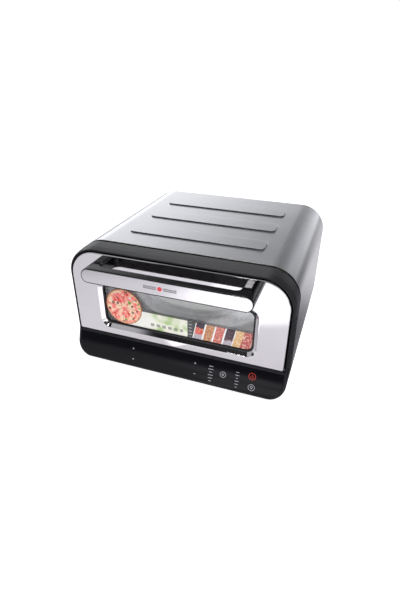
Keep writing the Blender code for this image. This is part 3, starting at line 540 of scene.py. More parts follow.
LOOKS = {
    "polished_stainless": POLISHED, "satin_grey_enamel": SATIN.material,
    "black_moulding": MATT_BLACK, "gloss_black_moulding": GLOSS_BLACK,
    "black_silicone": SILICONE, "foot_rubber": RUBBER,
    "aluminised_steel": ALUMINISED, "galvanised_steel": GALVANISED, "mineral_wool": WOOL,
    "heater_alloy": ALLOY, "cordierite": STONE, "clear_tempered_glass": GLASS,
    "circuit_board_green": board(), "copper_winding": winding(), "spring_steel": SPRING,
    "component_plastic": grained(
        "component_plastic", (0.03, 0.05, 0.09), 0.0, 0.5, grain=1500
    ).material,
    "cream_nylon": grained(
        "cream_nylon", (0.78, 0.74, 0.62), 0.0, 0.5, grain=1500, tint=0.04
    ).material,
    "ceramic_white": grained(
        "ceramic_white", (0.82, 0.8, 0.75), 0.0, 0.45, grain=800, tint=0.04
    ).material,
}
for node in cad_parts.values():
    for i, given in enumerate(node.data.materials):
        name = given.name.split(".")[0]
        if name in LOOKS:
            node.data.materials[i] = LOOKS[name]
print(len(LOOKS), "looks")

# %% [markdown]
# ## The wrap-around shell
# One sheet is bent over the top, down both sides and under the body, where it ends in flanges.
# Three long panels are pressed up out of the top to stiffen it. The press marks are part of the
# same surface: the height of each point comes from its distance to the panel's rounded outline.

# %% Shell
SHEET, R_TOP, R_FOOT = 0.0008, 0.060, 0.034
RIB_HALF, RIB_WIDE, RIB_R = HALF - 0.085, 0.048, 0.010
RIB_Y = [SHELL_Y[0] + 0.0816 + 0.1025 * i for i in range(3)]


def painted_rib_shade():
    """Painted shade: darkens the enamel in a thin ring round the front of each rib, where the
    pressed edge falls into shade.
    """
    shade = None
    for middle in RIB_Y:
        u, v = (abs(SATIN.x) - (RIB_HALF - RIB_R)).max(0.0), (
            abs(SATIN.y - (FACE + middle)) - (RIB_WIDE / 2 - RIB_R)
        ).max(0.0)
        ring = 1 - abs((u * u + v * v).root() - (RIB_R - 0.0007)).soft(0.0004, 0.0010)
        edge = SATIN.x.soft(0.10, 0.12) * 0.024 + FACE + middle - 0.012
        here = ring * (SATIN.z > TOP - 0.004) * (edge - SATIN.y).soft(0.0, 0.010)
        shade = here if shade is None else shade.max(here)
    enamel = SATIN.bsdf.inputs["Base Color"].links[0].from_socket
    SATIN.set(Base_Color=SATIN.mix(shade * 0.9, enamel, (0.02, 0.02, 0.025)))


painted_rib_shade()


def pressed(x, y):
    """How far the top is pressed up at this place."""
    rise = 0.0
    for middle in RIB_Y:
        u, v = abs(x) - (RIB_HALF - RIB_R), abs(y - middle) - (RIB_WIDE / 2 - RIB_R)
        inside = RIB_R - math.hypot(max(u, 0), max(v, 0)) - min(max(u, v), 0)
        t = min(max(inside / 0.0016, 0), 1)
        rise = max(rise, 0.0025 * t * t * (3 - 2 * t))
    return rise


def shell_section(inset, y):
    half, low, high = HALF - inset, LOW + inset, TOP - inset
    top, foot, flange = R_TOP - inset, R_FOOT - inset, HALF - R_FOOT - 0.018
    dense = [RIB_HALF + 0.0004 - 0.00055 * i for i in range(22)]
    sparse = [0.155, 0.12, 0.10, 0.075, 0.05, 0.025, 0.0]
    flat = sorted({round(s * x, 6) for x in dense + sparse for s in (1, -1)})
    path = [(-flange, low)] + arc(-half + foot, low + foot, foot, 270, 180, 14)
    path += arc(-half + top, high - top, top, 180, 90, 24)
    path += [(x, high) for x in flat] + arc(half - top, high - top, top, 90, 0, 24)
    path += arc(half - foot, low + foot, foot, 0, -90, 14) + [(flange, low)]
    return [at(x, y, z + (pressed(x, y) if z > high - 1e-6 else 0)) for x, z in path]


def shell():
    rows = {SHELL_Y[0] + 0.0006 + 0.012 * i for i in range(32)} | {SHELL_Y[1] - 0.0006}
    for middle in RIB_Y:
        rows |= {
            middle + side * (RIB_WIDE / 2 + 0.0004 - 0.00055 * i)
            for side in (-1, 1)
            for i in range(22)
        }
    rows = sorted(y for y in rows if SHELL_Y[0] + 0.0005 < y < SHELL_Y[1] - 0.0005)
    hem = [
        (SHEET / 2 * (1 - math.cos(a)), SHEET / 2 * (1 - math.sin(a)))
        for a in (math.pi * i / 6 for i in range(7))
    ]
    loops = [shell_section(0, y) for y in rows]
    loops += [shell_section(i, SHELL_Y[1] - d) for i, d in hem[1:]]
    loops += [shell_section(SHEET, y) for y in reversed(rows)]
    loops += [shell_section(i, SHELL_Y[0] + d) for i, d in reversed(hem[1:-1])]
    return keep(
        skin("shell_sheet", loops, cyclic=True, closed=False),
        "oven_body",
        SATIN.material,
        "outer_shell",
        angle=60,
    )


shell()

# %% [markdown]
# ## The moulded surround
# A black moulding frames the door and carries the vents. It is drawn as arches, one behind the
# other, with a rounded lip in front and a step behind that leaves a shadow line to the shell.

# %% Surround
BEZEL_FOOT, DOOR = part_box("front_bezel")[0].z, (SKIN[1].x, SKIN[0].z, SKIN[1].z)
DOOR_R = R_TOP - 0.004


def arch(half, low, high, r, y, n=28):
    over = arc(-half + r, high - r, r, 180, 90, n) + arc(half - r, high - r, r, 90, 0, n)
    return [at(x, y, z) for x, z in [(-half, low)] + over + [(half, low)]]


def surround():
    back, gap = SHELL_Y[0] - 0.0003, 0.0014
    in_half, in_top, in_r = DOOR[0] + gap, DOOR[2] + gap + 0.0001, DOOR_R + gap
    outer = [
        (0.0050, back), (0.0050, back - 0.0055), (0.0002, back - 0.0057), (0.0005, 0.030),
        (0.0012, 0.016), (0.0034, 0.0034), (0.0052, 0.0012), (0.0066, 0.0012),
    ]
    outer = soft_corners(outer, 0.0014)
    loops = [arch(HALF - i, BEZEL_FOOT, TOP - i * 0.6, R_TOP - i * 0.75, y) for i, y in outer]
    inner = soft_corners([(0.0012, 0.0012), (0.0, 0.0030), (0.0, back)], 0.001)
    loops += [arch(in_half + i, BEZEL_FOOT, in_top + i, in_r + i, y) for i, y in inner]
    body = skin("door_surround", loops, cyclic=True, closed=False)
    middle = (BEZEL_FOOT - 0.0006 + DOOR[2]) / 2 - 0.0187
    spots = [
        at(side * HALF, 0.0215, middle + 0.012 * (i - 3)) for side in (-1, 1) for i in range(7)
    ]
    body = boolean(
        body, copies("vents", slot_tool("vent", 0.014, 0.0045, 0.03, 0.0021, "x"), spots)
    )
    return keep(body, "oven_body", MATT_BLACK, "front_bezel", angle=35)


surround()

# %% [markdown]
# ## The control panel
# A black moulding leans out towards its foot, and a plate of dark glass fills its face. The touch
# marks are printed behind the glass: plain signs and short bars drawn by distance, no lettering.

# %% Marks on the glass
GLASS_BOX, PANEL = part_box("control_glass"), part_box("control_panel_housing")


def panel_look():
    sh = Shader("black_panel_glass", (0.004, 0.004, 0.006), 0.0, 0.04, Specular_IOR_Level=0.2)
    x, s = sh.x, (0.0682 - sh.z) * 1.0587

    def line(d, width=0.0004):
        return 1 - d.soft(width, width + 0.00025)

    def ring(x0, s0, r, width=0.0004):
        return line(abs(((x - x0) * (x - x0) + (s - s0) * (s - s0)).root() - r), width)

    def bar(x0, s0, long, thick):
        return line(((abs(x - x0) - long).max(abs(s - s0) - thick)).max(0.0), 0.0)

    def arrow(x0, s0, way):
        down = (s - s0) * way
        return line((abs(x - x0) - (0.0016 - down) * 0.62).max((down * -1) - 0.0016).max(0.0), 0.0)

    x0, s0 = 0.1634, 0.0225  # power
    gap = (s - (s0 - 0.0010)).soft(0.0, 0.0002)
    red = most(
        ring(x0, s0, 0.0068, 0.00025),
        ring(x0, s0 + 0.0004, 0.0026, 0.0002) * gap,
        bar(x0, s0 - 0.0019, 0.0003, 0.0014),
    )
    x0, s0 = 0.1647, 0.0452  # lamp
    signs = [
        ring(x0, s0, 0.0063), ring(x0, s0 - 0.0008, 0.0021), bar(x0, s0 + 0.0025, 0.0009, 0.0005)
    ]
    x0, s0 = 0.1052, 0.0325  # timer
    signs += [ring(x0, s0, 0.0058), bar(x0, s0, 0.0026, 0.0004)]
    signs += [bar(x0, s0 + d, 0.0018, 0.0004) for d in (-0.0017, 0.0017)]
    x0, s0 = 0.0453, 0.0221  # plus above minus
    signs += [
        bar(x0, s0, 0.0022, 0.0004),
        bar(x0, s0, 0.0004, 0.0022),
        bar(0.0461, 0.0446, 0.0022, 0.0004),
    ]
    signs += [arrow(-0.0943, 0.0208, -1), arrow(-0.0931, 0.0452, 1)]
    first, pitch = 0.0177, 0.0062  # two columns of short bars stand in for captions
    row = ((s - first) / pitch).floor()
    rows = line(abs(s - first - row * pitch - pitch / 2), 0.0005)
    rows = (
        rows
        * s.soft(first - 0.0001, first + 0.0001)
        * (1 - s.soft(first + 6 * pitch, first + 6 * pitch + 0.0002))
    )
    wave = (row * 2.3).math("SINE")
    for x0, long, swing in ((0.0795, 0.0042, 0.0016), (0.1340, 0.0030, 0.0012)):
        signs.append(rows * line((abs(x - x0) - long - wave * swing).max(0.0), 0.0))
    marks = most(*signs)
    tone = sh.mix(marks, (0.004, 0.004, 0.006), (0.34, 0.34, 0.36))
    sh.set(
        Base_Color=sh.mix(red, tone.socket, (0.55, 0.05, 0.03)),
        Roughness=sh.noise(30) * 0.03 + 0.025,
    )
    # Painted glow: the printed marks and the red power sign are made to give off a faint light of
    # their own.
    glow = sh.mix(red, sh.mix(marks, (0, 0, 0), (0.06, 0.06, 0.07)).socket, (0.30, 0.03, 0.02))
    return sh.set(Emission_Color=glow, Emission_Strength=0.6).material


PANEL_GLASS = panel_look()

# %% Panel pieces
LEAN, PANEL_TOP = 0.0207 / 0.0596, PANEL[1].z


def tray(inset, r, offset, y=None, box=PANEL, n=16):
    half, low, high = box[1].x - inset, box[0].z + inset, box[1].z - inset
    outline = (
        [(-half, high), (half, high)]
        + arc(half - r, low + r, r, 0, -90, n)
        + arc(-half + r, low + r, r, 270, 180, n)
    )
    return [
        at(x, 0.0047 - (PANEL_TOP - z) * LEAN + offset if y is None else y, z) for x, z in outline
    ]


def control_panel():
    back, r = SHELL_Y[0] - 0.0003, R_FOOT - 0.0005
    front = soft_corners(
        [(0.0062, 0.0024), (0.0062, 0.0), (0.0022, 0.0), (0.0, 0.0028), (0.0, 0.010)], 0.0014
    )
    loops = [tray(i, r - i * 0.9, d) for i, d in front]
    loops += [
        tray(0, r, 0, back - 0.0008),
        tray(0.0004, r, 0, back),
        tray(0.0026, r - 0.0026, 0, back),
        tray(0.0026, r - 0.0026, 0.0052),
    ]
    keep(skin("panel_housing", loops), "oven_body", MATT_BLACK, "control_panel_housing", angle=50)
    edge = [(0.0, 0.0021), (0.0, 0.0007), (0.0002, 0.0003), (0.0006, 0.0)]
    loops = [tray(i, R_FOOT - 0.0063 - i, d, box=GLASS_BOX) for i, d in edge]
    keep(skin("panel_glass", loops), "oven_body", PANEL_GLASS, "control_glass", angle=30)


control_panel()

# %% [markdown]
# ## The door
# A polished skin with a rounded rim wraps the glazing. The window sits in a recess whose sloping
# walls mirror the room. Behind it come the gasket, two panes held apart by a spacer, and a hat
# shaped inner pressing that pushes the seal against the mouth of the cavity.

# %% Door skin
LIP = 0.0075  # how far the gasket reaches past the window's opening
W_HALF, W_LOW, W_TOP = WINDOW[1].x - LIP, WINDOW[0].z + LIP, WINDOW[1].z - LIP


def door_outline(side, low, top, y, r=None, r_low=0.004, n=28):
    half, foot, high = DOOR[0] - side, DOOR[1] + low, DOOR[2] - top
    return [
        at(x, y, z)
        for x, z in rounded(half, foot, high, DOOR_R - side if r is None else r, r_low, n)
    ]


def window(out, y, r=0.013, n=28):
    return [
        at(x, y, z) for x, z in rounded(W_HALF + out, W_LOW - out, W_TOP + out, r + out, r + out, n)
    ]


def door_skin():
    def rim(inset, r, r_foot, deep, r_low):
        """A quarter turn from the door's side to its face."""
        out = []
        for a in (math.pi / 2 * i / 10 for i in range(11)):
            ease = 1 - math.cos(a)
            side, y = inset + r * ease, inset + deep * (1 - math.sin(a))
            out.append(door_outline(side, inset + r_foot * ease, side, y, r_low=r_low))
        return out

    sheet = 0.0012
    wall = soft_corners(
        [(0.0125, 0.0), (0.009, 0.0), (0.0012, 0.0064), (0.0009, 0.0074)], 0.0012, 5
    )
    back = soft_corners(
        [(0.0009, 0.0074), (0.0016, 0.0074), (0.0098, 0.0012), (0.0135, 0.0012)], 0.0008, 3
    )
    loops = [door_outline(0, 0, 0, 0.018)] + rim(0, 0.0026, 0.005, 0.005, 0.004)
    loops += [window(o, y) for o, y in wall + back[1:]]
    loops += [door_outline(sheet + 0.0024, sheet + 0.0048, sheet + 0.0024, sheet, r_low=0.003)]
    loops += reversed(rim(sheet, 0.0024, 0.0044, 0.0038, 0.003))
    loops += [door_outline(sheet, sheet, sheet, 0.018, r_low=0.003)]
    return keep(
        skin("door_skin", loops, cyclic=True), "door", POLISHED, "door_outer_skin", angle=50
    )


door_skin()

# %% Glazing, gasket, plugs and inner pressing
def glazing():
    seal = soft_corners(
        [
            (-0.0018, 0.0090), (-0.0018, 0.0060), (0.0007, 0.0060), (0.0007, 0.0076),
            (0.0075, 0.0076), (0.0075, 0.0090),
        ],
        0.0006,
    )
    keep(
        skin("window_seal", [window(o, y) for o, y in seal], cyclic=True),
        "door",
        SILICONE,
        "window_gasket",
    )
    for name, out, y in (("outer", 0.0072, 0.0093), ("inner", 0.0060, 0.0301)):
        pane = [
            window(out - 0.0004, y),
            window(out, y + 0.0004),
            window(out, y + 0.0036),
            window(out - 0.0004, y + 0.004),
        ]
        keep(skin(f"pane_{name}", pane), "door", GLASS, f"door_glass_{name}")
    bar = soft_corners(
        [(0.0072, 0.0136), (0.0072, 0.0298), (-0.0005, 0.0298), (-0.0005, 0.0136)], 0.0005
    )
    keep(
        skin("glazing_bars", [window(o, y) for o, y in bar], cyclic=True),
        "door",
        MATT_BLACK,
        "glazing_spacer",
    )
    plug = soft_corners([(0.0, 0.0), (0.0028, 0.0002), (0.0030, 0.0071), (0.0, 0.0071)], 0.0007)
    for name in sorted(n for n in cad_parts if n.startswith("window_plug")):
        low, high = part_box(name)
        centre = at((low.x + high.x) / 2, 0, (low.z + high.z) / 2)
        keep(
            turned(name.replace("window_", ""), plug, centre, (0, 1, 0), steps=40),
            "door",
            SILICONE,
            name,
        )


glazing()


def inner_pressing():
    front, flange, rear, thick = 0.0183, 0.0195, 0.0356, 0.0012
    outer = soft_corners(
        [(0.0008, front), (0.0008, flange), (0.0166, flange), (0.0176, rear), (0.0235, rear)],
        0.0014,
    )
    loops = [
        door_outline(
            i, i * 0.5 + 0.0006, i * 0.5 + 0.0004, y, r=max(0.036, DOOR_R - i),
            r_low=0.004 + i * 0.4,
        )
        for i, y in outer
    ]
    loops += [
        window(-0.0040 + d, y)
        for d, y in ((0.004, rear), (0.0004, rear), (0.0, rear - 0.0004), (0.0, rear - thick))
    ]
    loops += [door_outline(0.0235, 0.0130, 0.0125, rear - thick, r=0.036, r_low=0.012)]
    loops += [
        door_outline(0.0188, 0.0108, 0.0108, rear - thick - 0.0004, r=0.0372, r_low=0.0115),
        door_outline(0.0178, 0.0103, 0.0103, front, r=0.0378, r_low=0.011),
    ]
    keep(
        skin("inner_pressing", loops, cyclic=True), "door", ALUMINISED, "door_inner_panel", angle=50
    )
    low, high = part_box("door_seal")
    y, r = (low.y + high.y) / 2 - FACE, 0.0029
    loops = []
    for i in range(14):
        c, s = r * math.cos(math.tau * i / 14), r * math.sin(math.tau * i / 14)
        loops.append(
            [
                at(x, y + s, z)
                for x, z in rounded(
                    high.x - r + c, low.z + r - c, high.z - r + c, 0.030 + c, 0.010 + c, 24
                )
            ]
        )
    keep(skin("door_rope_seal", loops, cyclic=True), "door", SILICONE, "door_seal")


inner_pressing()

# %% [markdown]
# ## The handle
# One glossy moulding: a bar with rounded ends whose arms run back to the door, with an open gap
# for the fingers. The gap is cut straight through and every edge is then rounded over, which is
# what catches the long highlight. A polished plate is let into its leaning face.

# %% Handle
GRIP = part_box("door_handle")
GRIP_Z, GRIP_R, GRIP_HALF = (GRIP[0].z + GRIP[1].z) / 2, (GRIP[1].z - GRIP[0].z) / 2, GRIP[1].x
GRIP_Y = GRIP[0].y - FACE


def capsule(inset, offset=0.0, y=None, n=32):
    r, out = GRIP_R - inset, []
    for centre, a in ((GRIP_HALF - GRIP_R, 90), (-GRIP_HALF + GRIP_R, -90)):
        out += arc(centre, GRIP_Z, r, a, a - 180, n)
    return [
        at(x, GRIP_Y + (z - GRIP_Z + GRIP_R) * 0.1355 + offset if y is None else y, z)
        for x, z in out
    ]


def plate_look():
    """The polished steel again, with a small printed sign: a red bead between two dark bars."""
    sh = grained(
        "polished_plate", (0.76, 0.74, 0.765), 1.0, 0.055, grain=700, spread=0.02, bump=0.01,
        tint=0.02, stretch=(0.05, 1, 1),
    )
    x, z = sh.x + 0.004, sh.z - GRIP_Z
    bead = 1 - (x * x + z * z * 1.2).root().soft(0.0042, 0.0048)
    bars = (
        (1 - abs(abs(x) - 0.0195).soft(0.0125, 0.0130))
        * (1 - (abs(z) - 0.0018).soft(0.0008, 0.0013))
        * (1 - (1 - abs(z).soft(0.0003, 0.0006)) * 0.8)
    )
    steel = sh.bsdf.inputs["Base Color"].links[0].from_socket
    sh.set(
        Base_Color=sh.mix(
            bead, sh.mix(bars * 0.65, steel, (0.04, 0.04, 0.05)).socket, (0.70, 0.06, 0.07)
        )
    )
    return sh.set(Metallic=1 - bead.max(bars * 0.65)).material


PLATE = plate_look()


def handle():
    front = [
        (0.0015, 0.0013), (0.0015, 0.0001), (0.0013, 0.0), (0.0009, 0.0), (0.0005, 0.0003),
        (0.0002, 0.0008), (0.0, 0.0016),
    ]
    body = skin("handle_moulding", [capsule(i, d) for i, d in front] + [capsule(0, y=-0.0003)])
    gap, r, back = GRIP_HALF - 0.030, 0.010, GRIP_Y + 0.023
    outline = (
        [(-gap, 0.02), (gap, 0.02)]
        + arc(gap - r, back + r, r, 0, -90, 12)
        + arc(-gap + r, back + r, r, 270, 180, 12)
    )
    body = boolean(
        body,
        skin(
            "fingers", [[at(x, y, z) for x, y in outline] for z in (GRIP_Z - 0.03, GRIP_Z + 0.03)]
        ),
    )
    bm = bmesh.new()
    bm.from_mesh(body.data)
    bmesh.ops.remove_doubles(bm, verts=bm.verts, dist=2e-5)
    bmesh.ops.dissolve_limit(bm, angle_limit=0.002, verts=bm.verts, edges=bm.edges)

    def rounds(edge):
        """Whether an edge is sharp, lies on the bar's top or foot, and is clear of the door."""
        sharp = len(edge.link_faces) == 2 and edge.calc_face_angle(0) > 0.9
        level = all(abs(abs(v.co.z - GRIP_Z) - GRIP_R) < 1e-4 for v in edge.verts)
        ys = [v.co.y - FACE for v in edge.verts]
        return sharp and level and min(ys) > GRIP_Y + 0.012 and min(ys) < -0.001

    bmesh.ops.bevel(
        bm,
        geom=[e for e in bm.edges if rounds(e)],
        offset=0.0045,
        segments=9,
        profile=0.5,
        affect="EDGES",
    )
    bm.to_mesh(body.data)
    bm.free()
    keep(body, "door", GLOSS_BLACK, "door_handle", angle=35)
    plate = [(0.0019, 0.0010), (0.0019, 0.0003), (0.0021, 0.00005), (0.0025, -0.00005)]
    keep(
        skin("handle_face", [capsule(i, d) for i, d in plate]),
        "door",
        PLATE,
        "handle_plate",
        angle=40,
        slot="polished_stainless",
    )


handle()

# %% [markdown]
# ## The labels
# Two printed films on the outside of the window: a disc that shows a pizza cut in slices, and a
# strip of small pictures of food. Both are generic and drawn by their materials.


# %% Printed films
def printed():
    sh = Shader("printed_label", (0.8, 0.6, 0.45), 0.0, 0.4)
    low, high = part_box("label_round")
    cx, cz, radius = (low.x + high.x) / 2, (low.z + high.z) / 2, (high.x - low.x) / 2
    u, v = sh.x - cx, sh.z - cz
    r = (u * u + v * v).root()
    warp, fine = sh.noise(110, detail=4.0), sh.noise(420)
    cheese = sh.mix(warp.soft(0.42, 0.60), (0.98, 0.22, 0.20), (1.0, 0.72, 0.50))
    cell, spot = sh.lots(95), sh.cells(95)
    slice_ = sh.mix(spot.soft(0.16, 0.3), (0.95, 0.20, 0.16), (0.80, 0.05, 0.05))
    food = sh.mix((cell < 0.34) * (0.40 - spot).soft(0.0, 0.04), cheese.socket, slice_.socket)
    leaf = (cell > 0.34) * (cell < 0.60) * (0.38 - spot + (fine - 0.5) * 0.3).soft(0.0, 0.05)
    food = sh.mix(leaf, food.socket, (0.12, 0.42, 0.06))
    olive = (cell > 0.8) * ((0.30 - spot).soft(0.0, 0.04) - (0.14 - spot).soft(0.0, 0.04))
    food = sh.mix(olive, food.socket, (0.03, 0.02, 0.03))
    pale = (cell > 0.60) * (cell < 0.8) * (0.3 - spot).soft(0.0, 0.05)
    food = sh.mix(pale, food.socket, (0.96, 0.80, 0.74))
    turn = v.math("ARCTAN2", u) * 4 + 0.5
    cutline = (1 - abs(turn.math("SINE") * r).soft(0.0012, 0.0034)) * r.soft(0.004, 0.008)
    food = sh.mix(cutline * 0.75, food.socket, (0.42, 0.07, 0.04))
    crust = sh.mix(fine.soft(0.3, 0.7), (0.62, 0.30, 0.10), (0.92, 0.66, 0.34))
    disc = sh.mix(
        (r + (warp - 0.5) * 0.003).soft(radius * 0.91, radius * 0.94), food.socket, crust.socket
    )
    disc = sh.mix(r.soft(radius * 0.965, radius * 0.975), disc.socket, (0.55, 0.12, 0.08))

    low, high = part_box("label_strip")
    mid, tall = (low.z + high.z) / 2, high.z - low.z
    across = sh.x - (sh.z - mid) * 0.21
    back = sh.mix(sh.noise(38, detail=1.0).soft(0.42, 0.66), (0.90, 0.89, 0.78), (0.42, 0.60, 0.22))
    back = sh.mix(sh.x.soft(-0.075, -0.03), (0.93, 0.93, 0.86), back.socket)
    row = 1 - abs((sh.x + 0.058).repeat(0.0128) - 0.0064).soft(0.0036, 0.0042)
    row = (
        row
        * (1 - abs(sh.z - (low.z + tall * 0.30)).soft(0.0030, 0.0036))
        * sh.x.soft(-0.060, -0.058)
        * (1 - sh.x.soft(0.014, 0.016))
    )
    back = sh.mix(row * 0.8, back.socket, (0.25, 0.26, 0.24))
    dark = sh.x.soft(0.0245, 0.0250)
    bars = (
        (1 - (sh.z - low.z).repeat(0.0076).soft(0.0009, 0.0014))
        * (1 - abs(sh.x - 0.0305).soft(0.0030, 0.0034))
    )
    side = sh.mix(bars * 0.6, (0.07, 0.07, 0.075), (0.6, 0.6, 0.6))
    strip = sh.mix(dark, back.socket, side.socket)
    tile = (across - 0.0388) / 0.0204
    ramp = sh.node("ShaderNodeValToRGB", {}, (tile / 6).math("ADD", 0.0, clamp=True))
    ramp.color_ramp.interpolation = "CONSTANT"
    tones = {
        0: (0.75, 0.10, 0.06), 1: (0.55, 0.24, 0.10), 2: (0.66, 0.16, 0.14),
        3: (0.10, 0.04, 0.07), 4: (0.72, 0.45, 0.20), 4.75: (0.50, 0.09, 0.09),
    }
    knots = ramp.color_ramp.elements
    for i, (start_tile, tone) in enumerate(tones.items()):
        knot = knots[i] if i < 2 else knots.new(start_tile / 6)
        knot.position, knot.color = start_tile / 6, (*tone, 1)
    bits = sh.cells(230)
    dish = sh.mix(bits.soft(0.4, 0.8) * 0.5, ramp.outputs["Color"], (0.92, 0.62, 0.46))
    dish = sh.mix(fine.soft(0.5, 0.72) * 0.7, dish.socket, (0.12, 0.05, 0.04))
    up, which = (sh.z - low.z) / tall + (warp - 0.5) * 0.4, tile.floor()
    ends = (which < 0.5) * up.soft(0.70, 0.74) + (which > 2.5) * up.soft(0.34, 0.42) * 0.85
    dish = sh.mix(ends, dish.socket, (0.05, 0.03, 0.05))
    feet = ((which < 0.5) + (which > 2.5)) * (1 - up.soft(0.24, 0.34))
    dish = sh.mix(feet, dish.socket, (0.50, 0.44, 0.50))
    frames = abs(tile - which - 0.5).soft(0.40, 0.44)
    dish = sh.mix(frames, dish.socket, (0.92, 0.92, 0.92))
    strip = sh.mix((tile > 0.0) * (tile < 4.0), strip.socket, dish.socket)
    plain = sh.mix(bits.soft(0.4, 0.8) * 0.6, ramp.outputs["Color"], (0.93, 0.78, 0.62))
    plain = sh.mix(fine.soft(0.55, 0.75) * 0.6, plain.socket, (0.30, 0.08, 0.04))
    strip = sh.mix(tile > 4.0, strip.socket, plain.socket)
    both = sh.mix(r < radius + 0.0002, strip.socket, disc.socket)
    # Painted glow: the films give off a faint light in their own colours, which brightens the print.
    sh.set(Base_Color=both, Roughness=fine * 0.1 + 0.3, Emission_Color=both, Emission_Strength=0.03)
    return sh.bump(warp, 0.03, 0.0002).material


FILM = printed()
for name in ("label_round", "label_strip"):
    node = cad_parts[name]
    node.data.materials[0] = FILM


# %% [markdown]
# ## Inside the cavity
# The liner is a drawn box of aluminised steel with rounded corners. Two tubular heaters, the rack
# and the stone are turned or swept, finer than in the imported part, and stand in the same places.

# %% Cavity
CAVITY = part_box("cavity_liner")
CAV_HALF, CAV_LOW, CAV_TOP = CAVITY[1].x - 0.001, CAVITY[0].z + 0.001, CAVITY[1].z - 0.001
CAV_Y = CAVITY[0].y - FACE, CAVITY[1].y - FACE - 0.001


def cavity():
    wall, near, far = 0.001, *CAV_Y
    inside = (
        [(0.0105, far), (0.004, far - 0.0012), (0.0012, far - 0.004), (0.0, far - 0.0105)]
        + [(0.0, far - d) for d in (0.1, 0.2, 0.3)]
        + [(0.0, near + 0.0003), (-0.0003, near)]
    )
    outside = [
        (-wall + 0.0003, near), (-wall, near + 0.0003), (-wall, far - 0.0105),
        (0.0002, far - 0.004), (0.0034, far - 0.0004), (0.0105, far + wall),
    ]
    loops = []
    for i, y in inside + outside:
        r = 0.0105 - min(i, 0) - max(i, 0) * 0.9
        loops.append(
            [at(x, y, z) for x, z in rounded(CAV_HALF - i, CAV_LOW + i, CAV_TOP - i, r, r, 8)]
        )
    keep(skin("cavity_box", loops), "oven_body", ALUMINISED, "cavity_liner", angle=50)
    low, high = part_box("cavity_front_frame")
    y0, y1 = low.y - FACE, high.y - FACE

    def outer(i, y):
        r = DOOR_R + 0.0014 - i
        return [at(x, y, z) for x, z in rounded(high.x - i, low.z + i, high.z - i, r, 0.004, 20)]

    def mouth(i, y):
        half, foot, top = CAV_HALF - 0.0006 + i, CAV_LOW + 0.0006 - i, CAV_TOP - 0.0006 + i
        return [at(x, y, z) for x, z in rounded(half, foot, top, 0.010 + i, 0.010 + i, 20)]

    loops = [
        outer(0.0003, y0), outer(0, y0 + 0.0003), outer(0, y1), mouth(0, y1),
        mouth(0, y0 + 0.0004), mouth(0.0004, y0),
    ]
    keep(skin("mouth_frame", loops, cyclic=True), "oven_body", ALUMINISED, "cavity_front_frame")


cavity()


def bent(corners, r, n=10):
    out = [corners[0]]
    for a, b, c in zip(corners, corners[1:], corners[2:]):
        one, two = (a - b).normalized(), (c - b).normalized()
        reach = r / math.tan(one.angle(two) / 2)
        p, q = b + one * reach, b + two * reach
        out += [
            p * (1 - t) ** 2 + b * 2 * t * (1 - t) + q * t * t
            for t in (i / n for i in range(n + 1))
        ]
    return out + [corners[-1]]


def heating():
    low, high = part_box("upper_heater")
    r, z, wide = 0.00325, (low.z + high.z) / 2, high.x - 0.00325
    near, back, far = low.y - FACE + r, high.y - FACE, CAV_Y[1] - 0.030
    corners = [
        (-0.030, back), (-0.030, far), (-wide, far), (-wide, near), (wide, near), (wide, far),
        (0.030, far), (0.030, back),
    ]
    keep(
        pipe("upper_heating_rod", bent([at(x, y, z) for x, y in corners], 0.014), r),
        "oven_body",
        ALLOY,
        "upper_heater",
    )
    low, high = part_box("lower_heater")
    z, radius, middle = (low.z + high.z) / 2, high.x - r, sum(CAV_Y) / 2
    gap = math.asin(0.036 / radius)
    turns = [math.pi / 2 + gap + (math.tau - 2 * gap) * i / 72 for i in range(73)]
    hoop = [at(radius * math.cos(t), middle + radius * math.sin(t), z) for t in turns]
    path = (
        [at(-0.022, back, z), at(-0.022, middle + radius + 0.016, z)]
        + hoop
        + [at(0.022, middle + radius + 0.016, z), at(0.022, back, z)]
    )
    keep(pipe("lower_heating_rod", path, r), "oven_body", ALLOY, "lower_heater")


heating()


def oven_light():
    light = bpy.data.lights.new("oven_light", "AREA")
    light.shape, light.size, light.size_y, light.energy = "RECTANGLE", 0.30, 0.26, 0.5
    obj = bpy.data.objects.new("oven_light", light)
    obj.location = at(0, sum(CAV_Y) / 2 - 0.05, CAV_TOP - 0.004)
    obj.visible_camera = obj.visible_glossy = False
    bpy.context.scene.collection.objects.link(obj)


oven_light()


def stone():
    low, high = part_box("pizza_stone")
    r, centre = high.x, Vector((0, (low.y + high.y) / 2, 0))
    profile = soft_corners(
        [
            (0, low.z), (r - 0.0006, low.z), (r, low.z + 0.001), (r, high.z - 0.0012),
            (r - 0.0022, high.z), (0, high.z),
        ],
        0.0012,
        5,
    )
    keep(
        turned("baking_stone", profile, centre, (0, 0, 1), steps=128), "stone", STONE, "pizza_stone"
    )
    low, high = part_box("stone_rack")
    profile = soft_corners(
        [
            (r - 0.017, high.z - 0.0006), (r - 0.017, high.z), (high.x, high.z),
            (high.x, high.z - 0.0012), (r - 0.017, high.z - 0.0012), (r - 0.017, high.z - 0.0006),
        ],
        0.0004,
        3,
    )
    rack = turned("rack_ring", profile[:-1], centre, (0, 0, 1), cyclic=True, steps=128)
    leg = turned(
        "leg",
        soft_corners(
            [(0, low.z), (0.004, low.z), (0.004, high.z - 0.0008), (0, high.z - 0.0008)], 0.0008
        ),
        Vector(),
        (0, 0, 1),
        steps=24,
    )
    spots = [
        centre + Vector((math.cos(a), math.sin(a), 0)) * (r - 0.006)
        for a in (math.radians(45 + 90 * i) for i in range(4))
    ]
    legs = copies("rack_legs", leg, spots)
    keep(boolean(rack, legs, "UNION"), "oven_body", ALUMINISED, "stone_rack")


stone()

# %% [markdown]
# ## Back, underside and feet
# The back is a flat sheet set inside the shell, with slots for the fan and for warm air, and a
# gland where the cord enters. Screws hold it to the shell's inner flanges.

# %% Back panel
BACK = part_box("rear_panel")


